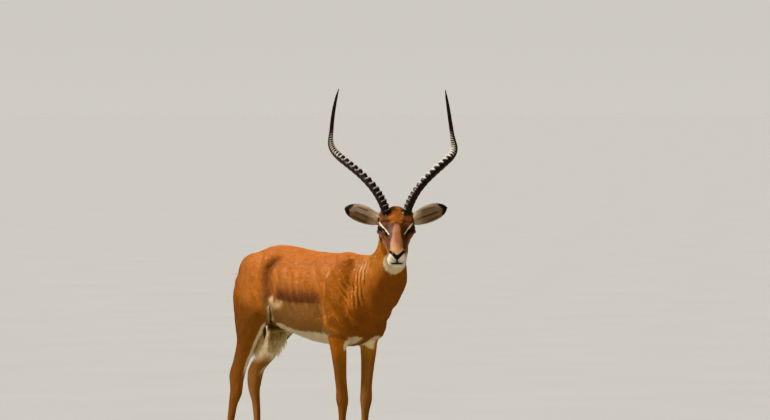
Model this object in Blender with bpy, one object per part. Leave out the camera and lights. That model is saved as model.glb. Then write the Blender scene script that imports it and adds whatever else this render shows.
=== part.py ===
"""An impala ram, standing with its head turned to its right: a still, life-size model.

Frame while modelling: metres, +X towards the chest, +Y to the animal's left, +Z up, hooves at Z = 0.
At the end everything is shifted so that the origin lies under the middle of the whole model.
"""

import math

import bmesh
import bpy
import numpy as np
from mathutils import Matrix, Vector

# ---------------------------------------------------------------- driving sizes
GAP = 0.0003  # clear space between two solids that touch
RING_SIDES = 28  # points round a body section
STEPS_BETWEEN = 5  # rings made between two given sections

HEAD_AT = Vector((0.475, -0.038, 0.992))  # between the ears
HEAD_YAW = math.radians(-39)  # turned to its right
HEAD_PITCH = math.radians(33)  # nose down
HEAD_ROLL = math.radians(0.5)  # crown leaning to its right

MIDDLE = (0.0698, 0.0339)  # of the finished model, in the modelling frame

EYE_AT = (0.084, 0.0490, 0.0005)  # in the head's own frame
EYE_RADIUS = 0.0172
EYE_SIDES = 12

HORN_RIDGES = 16
HORN_SIDES = 10
HORN_TAPER = (  # radius at shares of the length
    (0, 0.10, 0.30, 0.55, 0.66, 0.74, 0.88, 0.95, 1),
    (0.0172, 0.0166, 0.0148, 0.0136, 0.0112, 0.0080, 0.0065, 0.0046, 0.0012),
)

EAR_LENGTH = 0.141
EAR_WIDTH = 0.064
EAR_WALL = 0.0042

FRONT_FOOT = (0.190, 0.050)  # x, y of the foot below the fetlock
HIND_FOOT = {"left": (-0.437, 0.058), "right": (-0.457, 0.058)}
HOCK_AT = {"left": -0.460, "right": -0.413}  # x of the hock
HOOF_LENGTH = 0.049
HOOF_WIDTH = 0.0195  # of one claw
HOOF_SIDES = 9
CLEFT = 0.0022  # half the space between two claws
CORONET_Z = 0.036
CORONET_SLOPE = 0.34  # the hair line falls towards the heel

HEAD_MESH = (0.0032, 3, 2100)  # voxel size, rounds of smoothing, triangles
BODY_MESH = (0.0050, 3, 4000)
LEG_TOP, LEG_BLEND = 0.46, 0.10  # above this height, over this rise, the body is smoothed more

SIDES = {"left": 1, "right": -1}

# ---------------------------------------------------------------- materials
COATS = {
    "red_coat": ((0.42, 0.16, 0.05), 0.75, 0.0),
    "fawn_coat": ((0.55, 0.33, 0.17), 0.75, 0.0),
    "ear_coat": ((0.45, 0.33, 0.26), 0.8, 0.0),
    "white_coat": ((0.80, 0.72, 0.60), 0.8, 0.0),
    "horn_sheath": ((0.05, 0.035, 0.03), 0.45, 0.0),
    "eye_gloss": ((0.02, 0.012, 0.01), 0.08, 0.0),
    "hoof_horn": ((0.03, 0.025, 0.022), 0.5, 0.0),
    "dark_skin": ((0.10, 0.08, 0.07), 0.7, 0.0),
}


def material(name):
    colour, roughness, metallic = COATS[name]
    made = bpy.data.materials.get(name) or bpy.data.materials.new(name)
    made.use_nodes = True
    shader = made.node_tree.nodes["Principled BSDF"]
    shader.inputs["Base Color"].default_value = (*colour, 1.0)
    shader.inputs["Roughness"].default_value = roughness
    shader.inputs["Metallic"].default_value = metallic
    return made


# ---------------------------------------------------------------- small tools
def add_object(name, mesh):
    obj = bpy.data.objects.new(name, mesh)
    bpy.context.scene.collection.objects.link(obj)
    return obj


def object_from(bm, name):
    bmesh.ops.triangulate(bm, faces=bm.faces)
    bmesh.ops.recalc_face_normals(bm, faces=bm.faces)
    mesh = bpy.data.meshes.new(name)
    bm.to_mesh(mesh)
    bm.free()
    return add_object(name, mesh)


def applied(obj):
    """Makes the object's modifiers part of its mesh."""
    graph = bpy.context.evaluated_depsgraph_get()
    mesh = bpy.data.meshes.new_from_object(obj.evaluated_get(graph))
    obj.modifiers.clear()
    obj.data = mesh
    return obj


def remove(*objects):
    for obj in objects:
        bpy.data.objects.remove(obj)


def smooth_through(values, steps=STEPS_BETWEEN):
    """Rows of numbers through which a smooth curve passes, with more rows between them."""
    rows = np.array(values, float)
    ends = np.vstack([2 * rows[0] - rows[1], rows, 2 * rows[-1] - rows[-2]])
    made = []
    for i in range(1, len(ends) - 2):
        a, b, c, d = ends[i - 1 : i + 3]
        for t in np.arange(steps) / steps:
            made.append(
                0.5 * (2 * b + (c - a) * t + (2 * a - 5 * b + 4 * c - d) * t**2 + (3 * b - a - 3 * c + d) * t**3)
            )
    made.append(rows[-1])
    return np.array(made)


def rounded(angle, squareness):
    """A point of a unit section: an ellipse at squareness 2, fuller above that."""
    c, s = math.cos(angle), math.sin(angle)
    power = 2 / squareness
    return math.copysign(abs(c) ** power, c), math.copysign(abs(s) ** power, s)


def loft(name, sections, sides=RING_SIDES, steps=STEPS_BETWEEN):
    """A closed body through sections of (upper xyz, lower xyz, half width, squareness, top-heaviness, yaw).

    The section spans upper to lower, and sideways by its half width. Top-heaviness widens the upper half.
    """
    rows = [(*s[0], *s[1], *s[2:]) for s in sections]
    bm = bmesh.new()
    rings = []
    for row in smooth_through(rows, steps):
        upper, lower = Vector(row[0:3]), Vector(row[3:6])
        half_width, squareness, heavy, yaw = row[6:10]
        sideways = Vector((-math.sin(yaw), math.cos(yaw), 0)) * half_width
        middle, reach = (upper + lower) / 2, (upper - lower) / 2
        ring = bmesh.ops.create_circle(bm, segments=sides, radius=1)["verts"]
        for i, vert in enumerate(ring):
            across, along = rounded(2 * math.pi * i / sides, squareness)
            vert.co = middle + reach * along + sideways * across * (1 + heavy * along)
        rings.append([e for e in bm.edges if e.verts[0] in ring and e.verts[1] in ring])
    for one, two in zip(rings, rings[1:]):
        bmesh.ops.bridge_loops(bm, edges=one + two)
    for end in (rings[0], rings[-1]):
        bmesh.ops.contextual_create(bm, geom=end)
    return object_from(bm, name)


def blob(name, at, radii, turn=(0, 0, 0)):
    """An ellipsoid, turned by angles about X, Y and Z in degrees."""
    bm = bmesh.new()
    bmesh.ops.create_icosphere(bm, subdivisions=3, radius=1)
    spin = Matrix.Identity(3)
    for angle, axis in zip(turn, "XYZ"):
        spin = Matrix.Rotation(math.radians(angle), 3, axis) @ spin
    matrix = Matrix.Translation(at) @ spin.to_4x4() @ Matrix.Diagonal((*radii, 1))
    bmesh.ops.transform(bm, matrix=matrix, verts=bm.verts)
    return object_from(bm, name)


def joined(name, objects):
    """One object of all the shells, which may overlap."""
    bm = bmesh.new()
    for obj in objects:
        obj.data.transform(obj.matrix_world)
        bm.from_mesh(obj.data)
    remove(*objects)
    return object_from(bm, name)


def fused(name, form, voxel, rounds, triangles, broad=None):
    """The shells of form made one smooth closed skin of about that many triangles.

    broad, if given, says by position how much more a place is smoothed, from 0 to 1.
    """
    obj = add_object(name, form.data.copy())
    remesh = obj.modifiers.new("fuse", "REMESH")
    remesh.mode = "VOXEL"
    remesh.voxel_size = voxel
    applied(obj)
    smooth = obj.modifiers.new("relax", "SMOOTH")
    smooth.iterations = rounds
    if broad:
        group = obj.vertex_groups.new(name="broad")
        for vert in obj.data.vertices:
            group.add([vert.index], broad(vert.co), "REPLACE")
        wide = obj.modifiers.new("relax broad forms", "SMOOTH")
        wide.iterations = 12 * rounds
        wide.vertex_group = "broad"
    applied(obj)
    obj.vertex_groups.clear()
    count = 2 * len(obj.data.polygons)
    thin = obj.modifiers.new("fewer faces", "DECIMATE")
    thin.ratio = triangles / count
    return applied(obj)


def boolean(obj, other, operation):
    cut = obj.modifiers.new(operation.lower(), "BOOLEAN")
    cut.operation = operation
    cut.object = other
    cut.solver = "EXACT"
    return applied(obj)


def grown(obj, by):
    """A copy of the object, pushed out along its normals."""
    copy = add_object(obj.name + "_grown", obj.data.copy())
    push = copy.modifiers.new("grow", "DISPLACE")
    push.strength = by
    push.mid_level = 0
    return applied(copy)


def block(name, face_at, normal, size=1.6):
    """A big box whose one face lies at face_at with that outward normal."""
    normal = Vector(normal).normalized()
    side = normal.cross(Vector((0, 0, 1))).normalized()
    turn = Matrix((side, normal.cross(side), normal)).transposed().to_4x4()
    bm = bmesh.new()
    bmesh.ops.create_cube(bm, size=size)
    centre = Vector(face_at) - normal * size / 2
    bmesh.ops.transform(bm, matrix=Matrix.Translation(centre) @ turn, verts=bm.verts)
    return object_from(bm, name)


def wedge(name, corners_low, corners_high):
    """A closed six-sided cutter from four low and four high corners, each list going round the same way."""
    bm = bmesh.new()
    low = [bm.verts.new(c) for c in corners_low]
    high = [bm.verts.new(c) for c in corners_high]
    bm.faces.new(low)
    bm.faces.new(high)
    for i in range(4):
        j = (i + 1) % 4
        bm.faces.new((low[i], low[j], high[j], high[i]))
    return object_from(bm, name)


def head_matrix():
    turn = Matrix.Rotation(HEAD_YAW, 4, "Z") @ Matrix.Rotation(HEAD_PITCH, 4, "Y")
    return Matrix.Translation(HEAD_AT) @ turn @ Matrix.Rotation(HEAD_ROLL, 4, "X")


# ---------------------------------------------------------------- the body's forms
def section(upper, lower, half_width, squareness=2.2, heavy=0.0, y=0.0, yaw=0.0):
    """A loft section from side-view points (x, z), set at y and turned by yaw in degrees."""
    return (
        (upper[0], y, upper[1]),
        (lower[0], y, lower[1]),
        half_width,
        squareness,
        heavy,
        math.radians(yaw),
    )


def trunk_forms():
    """The barrel from rump to breast, in near-upright sections."""
    barrel = loft(
        "barrel",
        [
            section((-0.440, 0.745), (-0.436, 0.690), 0.028, 2.0),
            section((-0.415, 0.787), (-0.408, 0.640), 0.060, 2.1, -0.05),
            section((-0.372, 0.826), (-0.360, 0.608), 0.086, 2.2, -0.05),
            section((-0.300, 0.857), (-0.292, 0.585), 0.102, 2.2, -0.02),
            section((-0.225, 0.871), (-0.215, 0.566), 0.108, 2.2, 0.0),
            section((-0.130, 0.865), (-0.120, 0.545), 0.114, 2.2, -0.05),
            section((-0.030, 0.853), (-0.020, 0.524), 0.124, 2.2, -0.10),
            section((0.070, 0.848), (0.075, 0.512), 0.120, 2.2, -0.12),
            section((0.150, 0.849), (0.165, 0.507), 0.102, 2.2, -0.18),
            section((0.215, 0.842), (0.235, 0.520), 0.088, 2.2, -0.10),
            section((0.275, 0.812), (0.305, 0.560), 0.074, 2.1, 0.0),
            section((0.325, 0.760), (0.352, 0.625), 0.056, 2.0),
        ],
    )
    withers = blob("withers", (0.165, 0, 0.820), (0.085, 0.034, 0.034))
    forms = [barrel, withers]
    for side, s in SIDES.items():
        forms += [
            blob(f"shoulder_{side}", (0.200, s * 0.070, 0.715), (0.066, 0.040, 0.130), (s * 8, 16, 0)),
            blob(f"shoulder_point_{side}", (0.278, s * 0.048, 0.668), (0.056, 0.044, 0.070)),
            blob(f"upper_arm_{side}", (0.205, s * 0.072, 0.600), (0.084, 0.036, 0.062), (0, 34, 0)),
            blob(f"hip_point_{side}", (-0.200, s * 0.066, 0.806), (0.046, 0.028, 0.030)),
            blob(f"rump_{side}", (-0.290, s * 0.052, 0.762), (0.105, 0.056, 0.080), (0, 14, 0)),
            blob(f"buttock_{side}", (-0.375, s * 0.044, 0.705), (0.052, 0.042, 0.085)),
        ]
    return forms


def neck_form():
    """Nape and throat points from the withers to the poll, with the turn to the right near the top."""
    return loft(
        "neck_form",
        [
            ((0.130, 0.000, 0.838), (0.300, 0.000, 0.590), 0.082, 2.1, -0.10, 0.0),
            ((0.235, 0.000, 0.846), (0.388, 0.000, 0.662), 0.076, 2.1, -0.20, 0.0),
            ((0.306, 0.000, 0.848), (0.442, 0.000, 0.738), 0.066, 2.1, -0.16, math.radians(-3)),
            ((0.357, -0.006, 0.880), (0.460, -0.006, 0.806), 0.0510, 2.1, -0.10, math.radians(-8)),
            ((0.384, -0.010, 0.927), (0.473, -0.011, 0.860), 0.0505, 2.1, -0.06, math.radians(-16)),
            ((0.411, -0.018, 0.971), (0.484, -0.028, 0.900), 0.0520, 2.1, 0.0, math.radians(-28)),
            ((0.452, -0.028, 1.000), (0.490, -0.045, 0.930), 0.0480, 2.1, 0.0, math.radians(-37)),
        ],
    )


def leg_form(name, stations, s):
    """A limb through stations of (front xz, back xz, half width, y)."""
    return loft(
        name,
        [section(front, back, half, 2.2, 0.0, s * y) for front, back, half, y in stations],
        sides=20,
    )


def front_leg_form(side, s):
    x, y = FRONT_FOOT
    stations = [
        ((x + 0.070, 0.650), (x - 0.030, 0.680), 0.036, 0.070),
        ((x + 0.060, 0.585), (x - 0.056, 0.592), 0.035, 0.074),
        ((x + 0.038, 0.530), (x - 0.042, 0.546), 0.031, 0.073),
        ((x + 0.031, 0.475), (x - 0.026, 0.480), 0.0270, 0.069),
        ((x + 0.027, 0.410), (x - 0.020, 0.410), 0.0225, 0.063),
        ((x + 0.025, 0.360), (x - 0.017, 0.356), 0.0215, 0.058),
        ((x + 0.028, 0.325), (x - 0.019, 0.318), 0.0225, 0.056),
        ((x + 0.023, 0.288), (x - 0.015, 0.286), 0.0170, 0.054),
        ((x + 0.016, 0.240), (x - 0.014, 0.240), 0.0130, 0.053),
        ((x + 0.015, 0.160), (x - 0.014, 0.160), 0.0128, 0.051),
        ((x + 0.018, 0.118), (x - 0.017, 0.116), 0.0165, y),
        ((x + 0.026, 0.092), (x - 0.017, 0.086), 0.0195, y),
        ((x + 0.036, 0.062), (x + 0.002, 0.046), 0.0175, y),
        ((x + 0.048, 0.034), (x + 0.004, 0.016), 0.0195, y),
    ]
    return leg_form(f"front_leg_form_{side}", stations, s)


def hind_leg_form(side, s):
    (x, y), hock = HIND_FOOT[side], HOCK_AT[side]
    shin, cannon = (hock - 0.310) / 2, (hock + x) / 2
    stations = [
        ((-0.205, 0.735), (-0.392, 0.760), 0.042, 0.062),
        ((-0.203, 0.665), (-0.405, 0.690), 0.045, 0.070),
        ((-0.220, 0.600), (-0.396, 0.625), 0.044, 0.074),
        ((-0.257, 0.545), (-0.388, 0.570), 0.038, 0.074),
        ((shin + 0.065, 0.492), (shin - 0.024, 0.520), 0.030, 0.071),
        ((shin + 0.027, 0.445), (shin - 0.043, 0.472), 0.0240, 0.067),
        ((hock + 0.052, 0.402), (hock - 0.014, 0.432), 0.0205, 0.064),
        ((hock + 0.034, 0.356), (hock - 0.036, 0.390), 0.0195, 0.062),
        ((hock + 0.024, 0.312), (hock - 0.032, 0.336), 0.0180, 0.061),
        ((cannon + 0.019, 0.270), (cannon - 0.021, 0.282), 0.0145, 0.060),
        ((0.2 * cannon + 0.8 * x + 0.015, 0.200), (0.2 * cannon + 0.8 * x - 0.018, 0.205), 0.0125, y),
        ((x + 0.014, 0.140), (x - 0.018, 0.142), 0.0130, y),
        ((x + 0.018, 0.114), (x - 0.020, 0.112), 0.0170, y),
        ((x + 0.026, 0.092), (x - 0.020, 0.084), 0.0195, y),
        ((x + 0.038, 0.062), (x + 0.003, 0.046), 0.0175, y),
        ((x + 0.050, 0.034), (x + 0.006, 0.016), 0.0195, y),
    ]
    return leg_form(f"hind_leg_form_{side}", stations, s)


def head_forms():
    """Skull, muzzle and cheeks in the head's own frame: +X along the face, +Z out of the forehead."""
    skull = loft(
        "skull",
        [
            section((-0.045, 0.000), (-0.030, -0.075), 0.036, 2.1),
            section((-0.018, 0.024), (-0.006, -0.090), 0.048, 2.1, 0.05),
            section((0.020, 0.032), (0.026, -0.100), 0.052, 2.1, 0.08),
            section((0.058, 0.036), (0.058, -0.102), 0.053, 2.2, 0.12),
            section((0.092, 0.031), (0.090, -0.097), 0.050, 2.2, 0.16),
            section((0.122, 0.021), (0.120, -0.090), 0.0430, 2.3, 0.08),
            section((0.156, 0.009), (0.154, -0.084), 0.0360, 2.4, 0.02),
            section((0.190, -0.001), (0.188, -0.083), 0.0325, 2.4, 0.02),
            section((0.218, -0.006), (0.212, -0.082), 0.0330, 2.3, 0.04),
            section((0.238, -0.012), (0.228, -0.077), 0.0300, 2.2, 0.06),
            section((0.250, -0.024), (0.241, -0.060), 0.0190, 2.0),
        ],
        sides=24,
    )
    forms = [skull, blob("crown", (0.034, 0, 0.026), (0.036, 0.026, 0.018))]
    for side, s in SIDES.items():
        forms += [
            blob(f"brow_{side}", (0.079, s * 0.0435, 0.0115), (0.027, 0.0180, 0.0165), (0, 10, 0)),
            blob(f"under_eye_{side}", (0.097, s * 0.0405, -0.020), (0.028, 0.0165, 0.017)),
            blob(f"jaw_{side}", (0.050, s * 0.034, -0.055), (0.040, 0.0185, 0.042)),
            blob(f"lip_{side}", (0.222, s * 0.019, -0.047), (0.022, 0.0160, 0.018)),
            blob(f"nostril_{side}", (0.231, s * 0.0175, -0.022), (0.016, 0.0115, 0.012), (0, 30, 0)),
            blob(f"horn_seat_{side}", (0.038, s * 0.036, 0.018), (0.027, 0.0250, 0.020)),
            blob(f"ear_root_{side}", (0.010, s * 0.046, -0.022), (0.022, 0.020, 0.024)),
        ]
    for obj in forms:
        obj.data.transform(head_matrix())
    return forms


# ---------------------------------------------------------------- horns, ears, eyes, tail, hooves
def horn_line(s):
    """Points up a horn in the head's level frame: x forward, y left, z up, from between the ears.

    The last two numbers of a row are half of how far the right horn is carried above, and outside, the left one.
    """
    rows = smooth_through(
        [
            (0.043, 0.0230, -0.024, 0, 0),
            (0.045, 0.0290, -0.009, 0, 0),
            (0.047, 0.0355, 0.008, 0, -0.001),
            (0.045, 0.0428, 0.029, 0, -0.0015),
            (0.040, 0.0512, 0.049, 0, -0.0015),
            (0.026, 0.0714, 0.084, 0, -0.002),
            (0.006, 0.0931, 0.111, 0, -0.0025),
            (-0.026, 0.1251, 0.143, 0.001, -0.003),
            (-0.069, 0.1637, 0.175, 0.001, -0.003),
            (-0.109, 0.1946, 0.198, 0.001, -0.003),
            (-0.142, 0.2160, 0.218, 0, -0.001),
            (-0.165, 0.2235, 0.240, -0.001, 0.0055),
            (-0.175, 0.2215, 0.262, -0.002, 0.010),
            (-0.176, 0.2165, 0.303, -0.002, 0.0105),
            (-0.170, 0.2125, 0.337, -0.002, 0.0115),
            (-0.156, 0.2060, 0.382, -0.002, 0.0115),
            (-0.140, 0.1970, 0.428, 0, 0.010),
            (-0.132, 0.1917, 0.450, 0.004, 0.0075),
        ],
        steps=6,
    )
    line = rows[:, :3].copy()
    line[:, 1] -= s * rows[:, 4]
    line[:, 2] -= s * rows[:, 3]
    line[:, 1] *= s
    return line


def horn(side, s):
    line = horn_line(s)
    steps = np.linalg.norm(np.diff(line, axis=0), axis=1)
    along = np.concatenate([[0], np.cumsum(steps)]) / steps.sum()
    ring_count = 2 * HORN_RIDGES
    ridged_share = 0.70
    stops = list(np.linspace(0, ridged_share, ring_count)) + list(np.linspace(ridged_share + 0.05, 1, 7))
    bm = bmesh.new()
    rings = []
    for i, stop in enumerate(stops):
        at = Vector([np.interp(stop, along, line[:, k]) for k in range(3)])
        ahead = Vector([np.interp(min(stop + 0.01, 1), along, line[:, k]) for k in range(3)])
        behind = Vector([np.interp(max(stop - 0.01, 0), along, line[:, k]) for k in range(3)])
        turn = (ahead - behind).to_track_quat("Z", "Y").to_matrix().to_4x4()
        radius = float(np.interp(stop, *HORN_TAPER))
        if i < ring_count:
            ridge = 0.0016 * math.sin(math.pi * min(1, stop / ridged_share))
            radius += ridge if i % 2 else -ridge
        ring = bmesh.ops.create_circle(
            bm, segments=HORN_SIDES, radius=radius, matrix=Matrix.Translation(at) @ turn
        )["verts"]
        rings.append([e for e in bm.edges if e.verts[0] in ring and e.verts[1] in ring])
    for one, two in zip(rings, rings[1:]):
        bmesh.ops.bridge_loops(bm, edges=one + two)
    for end in (rings[0], rings[-1]):
        bmesh.ops.contextual_create(bm, geom=end)
    obj = object_from(bm, f"horn_{side}")
    level = Matrix.Rotation(HEAD_YAW, 4, "Z") @ Matrix.Rotation(HEAD_ROLL, 4, "X")
    obj.data.transform(Matrix.Translation(HEAD_AT) @ level)
    return obj


def ear(side, s):
    """A cupped leaf, open to the front, standing out sideways from behind the horn."""
    rows, columns = 8, 6
    bm = bmesh.new()
    bmesh.ops.create_grid(bm, x_segments=columns, y_segments=rows, size=1)
    for vert in bm.verts:
        across, up = vert.co.x, (vert.co.y + 1) / 2
        leaf = 0.32 + 0.68 * math.sin(0.82 * math.pi * up**0.9)
        half = max(EAR_WIDTH / 2 * leaf * (1 - up**10) ** 0.5, 0.004)
        roll = math.radians(118 - 62 * up)  # how far the leaf is rolled into a cup
        radius = half / math.sin(min(roll, math.pi / 2))
        angle = across * roll
        vert.co = Vector(
            (radius * (1 - math.cos(angle)) * -1, radius * math.sin(angle), up * EAR_LENGTH)
        )
    obj = object_from(bm, f"ear_{side}")
    wall = obj.modifiers.new("wall", "SOLIDIFY")
    wall.thickness = EAR_WALL
    wall.offset = 0
    applied(obj)
    # The ear's own +Z runs to the tip and +X out of the cup.
    tip = Vector((-0.10, s * 0.93, 0.36)).normalized()
    facing = Vector((0.94, s * -0.05, -0.10))
    facing = (facing - tip * facing.dot(tip)).normalized()
    turn = Matrix((facing, tip.cross(facing), tip)).transposed().to_4x4()
    level = Matrix.Rotation(HEAD_YAW, 4, "Z") @ Matrix.Rotation(HEAD_ROLL, 4, "X")
    root = head_matrix() @ Vector((0.010, s * 0.050, -0.026))
    obj.data.transform(Matrix.Translation(root) @ level @ turn)
    return obj


def eye(side, s):
    bm = bmesh.new()
    bmesh.ops.create_uvsphere(bm, u_segments=EYE_SIDES, v_segments=EYE_SIDES // 2, radius=EYE_RADIUS)
    obj = object_from(bm, f"eye_{side}")
    x, y, z = EYE_AT
    obj.data.transform(head_matrix() @ Matrix.Translation((x, s * y, z)))
    return obj


def tail_form():
    """The tail from its root down to its tip, which hangs a little to the animal's left."""
    return loft(
        "tail",
        [
            ((-0.400, 0.000, 0.800), (-0.405, 0.000, 0.770), 0.014, 2, 0, 0),
            ((-0.450, 0.001, 0.786), (-0.438, 0.001, 0.756), 0.015, 2, 0, 0),
            ((-0.482, 0.004, 0.748), (-0.462, 0.004, 0.730), 0.016, 2, 0, 0),
            ((-0.497, 0.010, 0.692), (-0.472, 0.010, 0.687), 0.017, 2, 0, 0),
            ((-0.499, 0.018, 0.638), (-0.471, 0.018, 0.635), 0.017, 2, 0, 0),
            ((-0.485, 0.026, 0.574), (-0.461, 0.026, 0.570), 0.013, 2, 0, 0),
            ((-0.469, 0.031, 0.528), (-0.460, 0.031, 0.526), 0.005, 2, 0, 0),
        ],
        sides=10,
        steps=2,
    )


def coronet_height(forward):
    """Height of the hair line above the floor, at this distance in front of the fetlock's line."""
    return CORONET_Z + CORONET_SLOPE * (forward - 0.028)


def hoof(name, foot, s, claw):
    """One claw: a pointed sole flat on the floor, rising to a slanted hair line."""
    x0, y0 = foot[0] + 0.027, s * foot[1]
    bm = bmesh.new()
    rings = []
    for share in (0, 0.15, 1):
        ring = bmesh.ops.create_circle(bm, segments=HOOF_SIDES, radius=1)["verts"]
        for vert in ring:
            along, across = vert.co.x, vert.co.y
            toe = 0.5 * (1 + along)
            narrowing = 1 - 0.55 * toe**2.2
            outward = (across + 1) / 2 * HOOF_WIDTH * narrowing
            lean = 0.012 * (1 - share) * toe
            length = HOOF_LENGTH / 2 - 0.003 * share
            x = x0 + along * length + lean
            z = share * (coronet_height(x - foot[0]) - GAP)
            vert.co = Vector((x, y0 + claw * (CLEFT + outward * (0.96 if share < 0.1 else 1)), z))
        rings.append([e for e in bm.edges if e.verts[0] in ring and e.verts[1] in ring])
    for one, two in zip(rings, rings[1:]):
        bmesh.ops.bridge_loops(bm, edges=one + two)
    for end in (rings[0], rings[-1]):
        bmesh.ops.contextual_create(bm, geom=end)
    return object_from(bm, name)


def foot_cutter(name, foot, s):
    """Everything below the hair line of one foot."""
    x, y, reach = foot[0] + 0.03, s * foot[1], 0.05
    corners = [(x - 0.09, y - reach), (x + 0.09, y - reach), (x + 0.09, y + reach), (x - 0.09, y + reach)]
    top = [(cx, cy, coronet_height(cx - foot[0]) + GAP / 2) for cx, cy in corners]
    return wedge(name, [(cx, cy, -0.08) for cx, cy in corners], top)


def scrotum():
    return loft(
        "scrotum",
        [
            ((-0.330, 0, 0.600), (-0.372, 0, 0.604), 0.014, 2, 0, 0),
            ((-0.326, 0, 0.570), (-0.376, 0, 0.574), 0.019, 2, 0, 0),
            ((-0.326, 0, 0.540), (-0.376, 0, 0.543), 0.024, 2, 0, 0),
            ((-0.334, 0, 0.515), (-0.369, 0, 0.517), 0.018, 2, 0, 0),
            ((-0.346, 0, 0.506), (-0.356, 0, 0.507), 0.006, 2, 0, 0),
        ],
        sides=10,
        steps=2,
    )


# ---------------------------------------------------------------- parting the body
HEAD_CUT_AT = (0.450, -0.01, 0.893)
HEAD_CUT_NORMAL = (-0.50, 0.25, -0.83)  # towards the neck
NECK_CUT_AT = (0.295, 0, 0.780)
NECK_CUT_NORMAL = (-0.78, 0, -0.625)  # towards the trunk
FRONT_LEG_TOP = [(0.112, 0.001, 0.478), (0.345, 0.001, 0.478), (0.345, 0.150, 0.590), (0.112, 0.150, 0.590)]
HIND_LEG_TOP = [(-0.540, 0.001, 0.655), (-0.130, 0.001, 0.515), (-0.130, 0.161, 0.635), (-0.540, 0.161, 0.775)]


def leg_space(name, corners, s, lift):
    """The space that holds one leg, below a slanted top given from the inside out."""
    top = [(x, s * y, z + lift) for x, y, z in corners]
    bottom = [(x, y, -0.1) for x, y, _ in top]
    return wedge(name, bottom, top)


def parted(obj, at, normal, keep):
    """Cuts the object by a plane, half a gap short of it, and keeps the side towards or away from the normal."""
    away = -1 if keep == "towards" else 1
    cutter = block("cutter", at - normal * away * GAP / 2, normal * away * -1)
    boolean(obj, cutter, "DIFFERENCE")
    remove(cutter)
    return obj


def finish(obj, coat):
    """Gives the object its coat and moves it into the finished model's frame."""
    obj.data.materials.clear()
    obj.data.materials.append(material(coat))
    obj.data.shade_smooth()
    obj.data.transform(Matrix.Translation((-MIDDLE[0], -MIDDLE[1], 0)))
    return obj


def build_flesh():
    """Head, neck, trunk and legs, parted from one form so that their outlines run on."""
    heads = joined("head_form", head_forms() + [neck_form()])
    legs = [front_leg_form(side, s) for side, s in SIDES.items()]
    legs += [hind_leg_form(side, s) for side, s in SIDES.items()]
    body = joined("body_form", trunk_forms() + legs + head_forms() + [neck_form()])

    def broad(co):
        return max(0.0, min(1.0, (co.z - LEG_TOP) / LEG_BLEND))

    head = fused("head", heads, *HEAD_MESH)
    trunk = fused("trunk", body, *BODY_MESH, broad)
    remove(heads, body)

    head_cut, head_normal = Vector(HEAD_CUT_AT), Vector(HEAD_CUT_NORMAL).normalized()
    neck_cut, neck_normal = Vector(NECK_CUT_AT), Vector(NECK_CUT_NORMAL).normalized()
    neck = add_object("neck", trunk.data.copy())
    parted(head, head_cut, head_normal, "away")
    parted(neck, head_cut, head_normal, "towards")
    parted(neck, neck_cut, neck_normal, "away")

    limbs = {}
    for side, s in SIDES.items():
        for name, corners, foot in (
            (f"leg_front_{side}", FRONT_LEG_TOP, FRONT_FOOT),
            (f"leg_hind_{side}", HIND_LEG_TOP, HIND_FOOT[side]),
        ):
            limb = add_object(name, trunk.data.copy())
            space = leg_space("space", corners, s, -GAP / 2)
            boolean(limb, space, "INTERSECT")
            below = foot_cutter("below", foot, s)
            boolean(limb, below, "DIFFERENCE")
            remove(space, below)
            limbs[name] = limb
            space = leg_space("space", corners, s, GAP / 2)
            boolean(trunk, space, "DIFFERENCE")
            remove(space)
    parted(trunk, neck_cut, neck_normal, "towards")
    return head, neck, trunk, limbs


def build():
    for obj in list(bpy.data.objects):
        bpy.data.objects.remove(obj)

    head, neck, trunk, limbs = build_flesh()
    skull, nape = grown(head, GAP), grown(neck, GAP)
    for side, s in SIDES.items():
        horn_solid = horn(side, s)
        ear_solid = boolean(boolean(ear(side, s), skull, "DIFFERENCE"), nape, "DIFFERENCE")
        eye_solid = eye(side, s)
        for inset in (horn_solid, eye_solid):
            socket = grown(inset, GAP)
            boolean(head, socket, "DIFFERENCE")
            remove(socket)
        finish(horn_solid, "horn_sheath")
        finish(ear_solid, "ear_coat")
        finish(eye_solid, "eye_gloss")
        for leg, foot in (("front", FRONT_FOOT), ("hind", HIND_FOOT[side])):
            for claw, way in (("outer", s), ("inner", -s)):
                finish(hoof(f"hoof_{leg}_{side}_{claw}", foot, s, way), "hoof_horn")
    remove(skull, nape)

    rump = grown(trunk, GAP)
    tail = boolean(tail_form(), rump, "DIFFERENCE")
    purse = boolean(scrotum(), rump, "DIFFERENCE")
    remove(rump)
    finish(head, "red_coat")
    finish(neck, "red_coat")
    finish(trunk, "red_coat")
    finish(tail, "white_coat")
    finish(purse, "dark_skin")
    for limb in limbs.values():
        finish(limb, "fawn_coat")


build()
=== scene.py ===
"""An impala ram as it stands in a museum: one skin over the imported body, with coat, horns, eyes and hooves.

The skin's relief, lines and markings are worked out in millimetres, and everything else in metres.
"""

import math

import bmesh
import bpy
import numpy as np
from mathutils import Matrix, Vector
from mathutils.bvhtree import BVHTree


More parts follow.
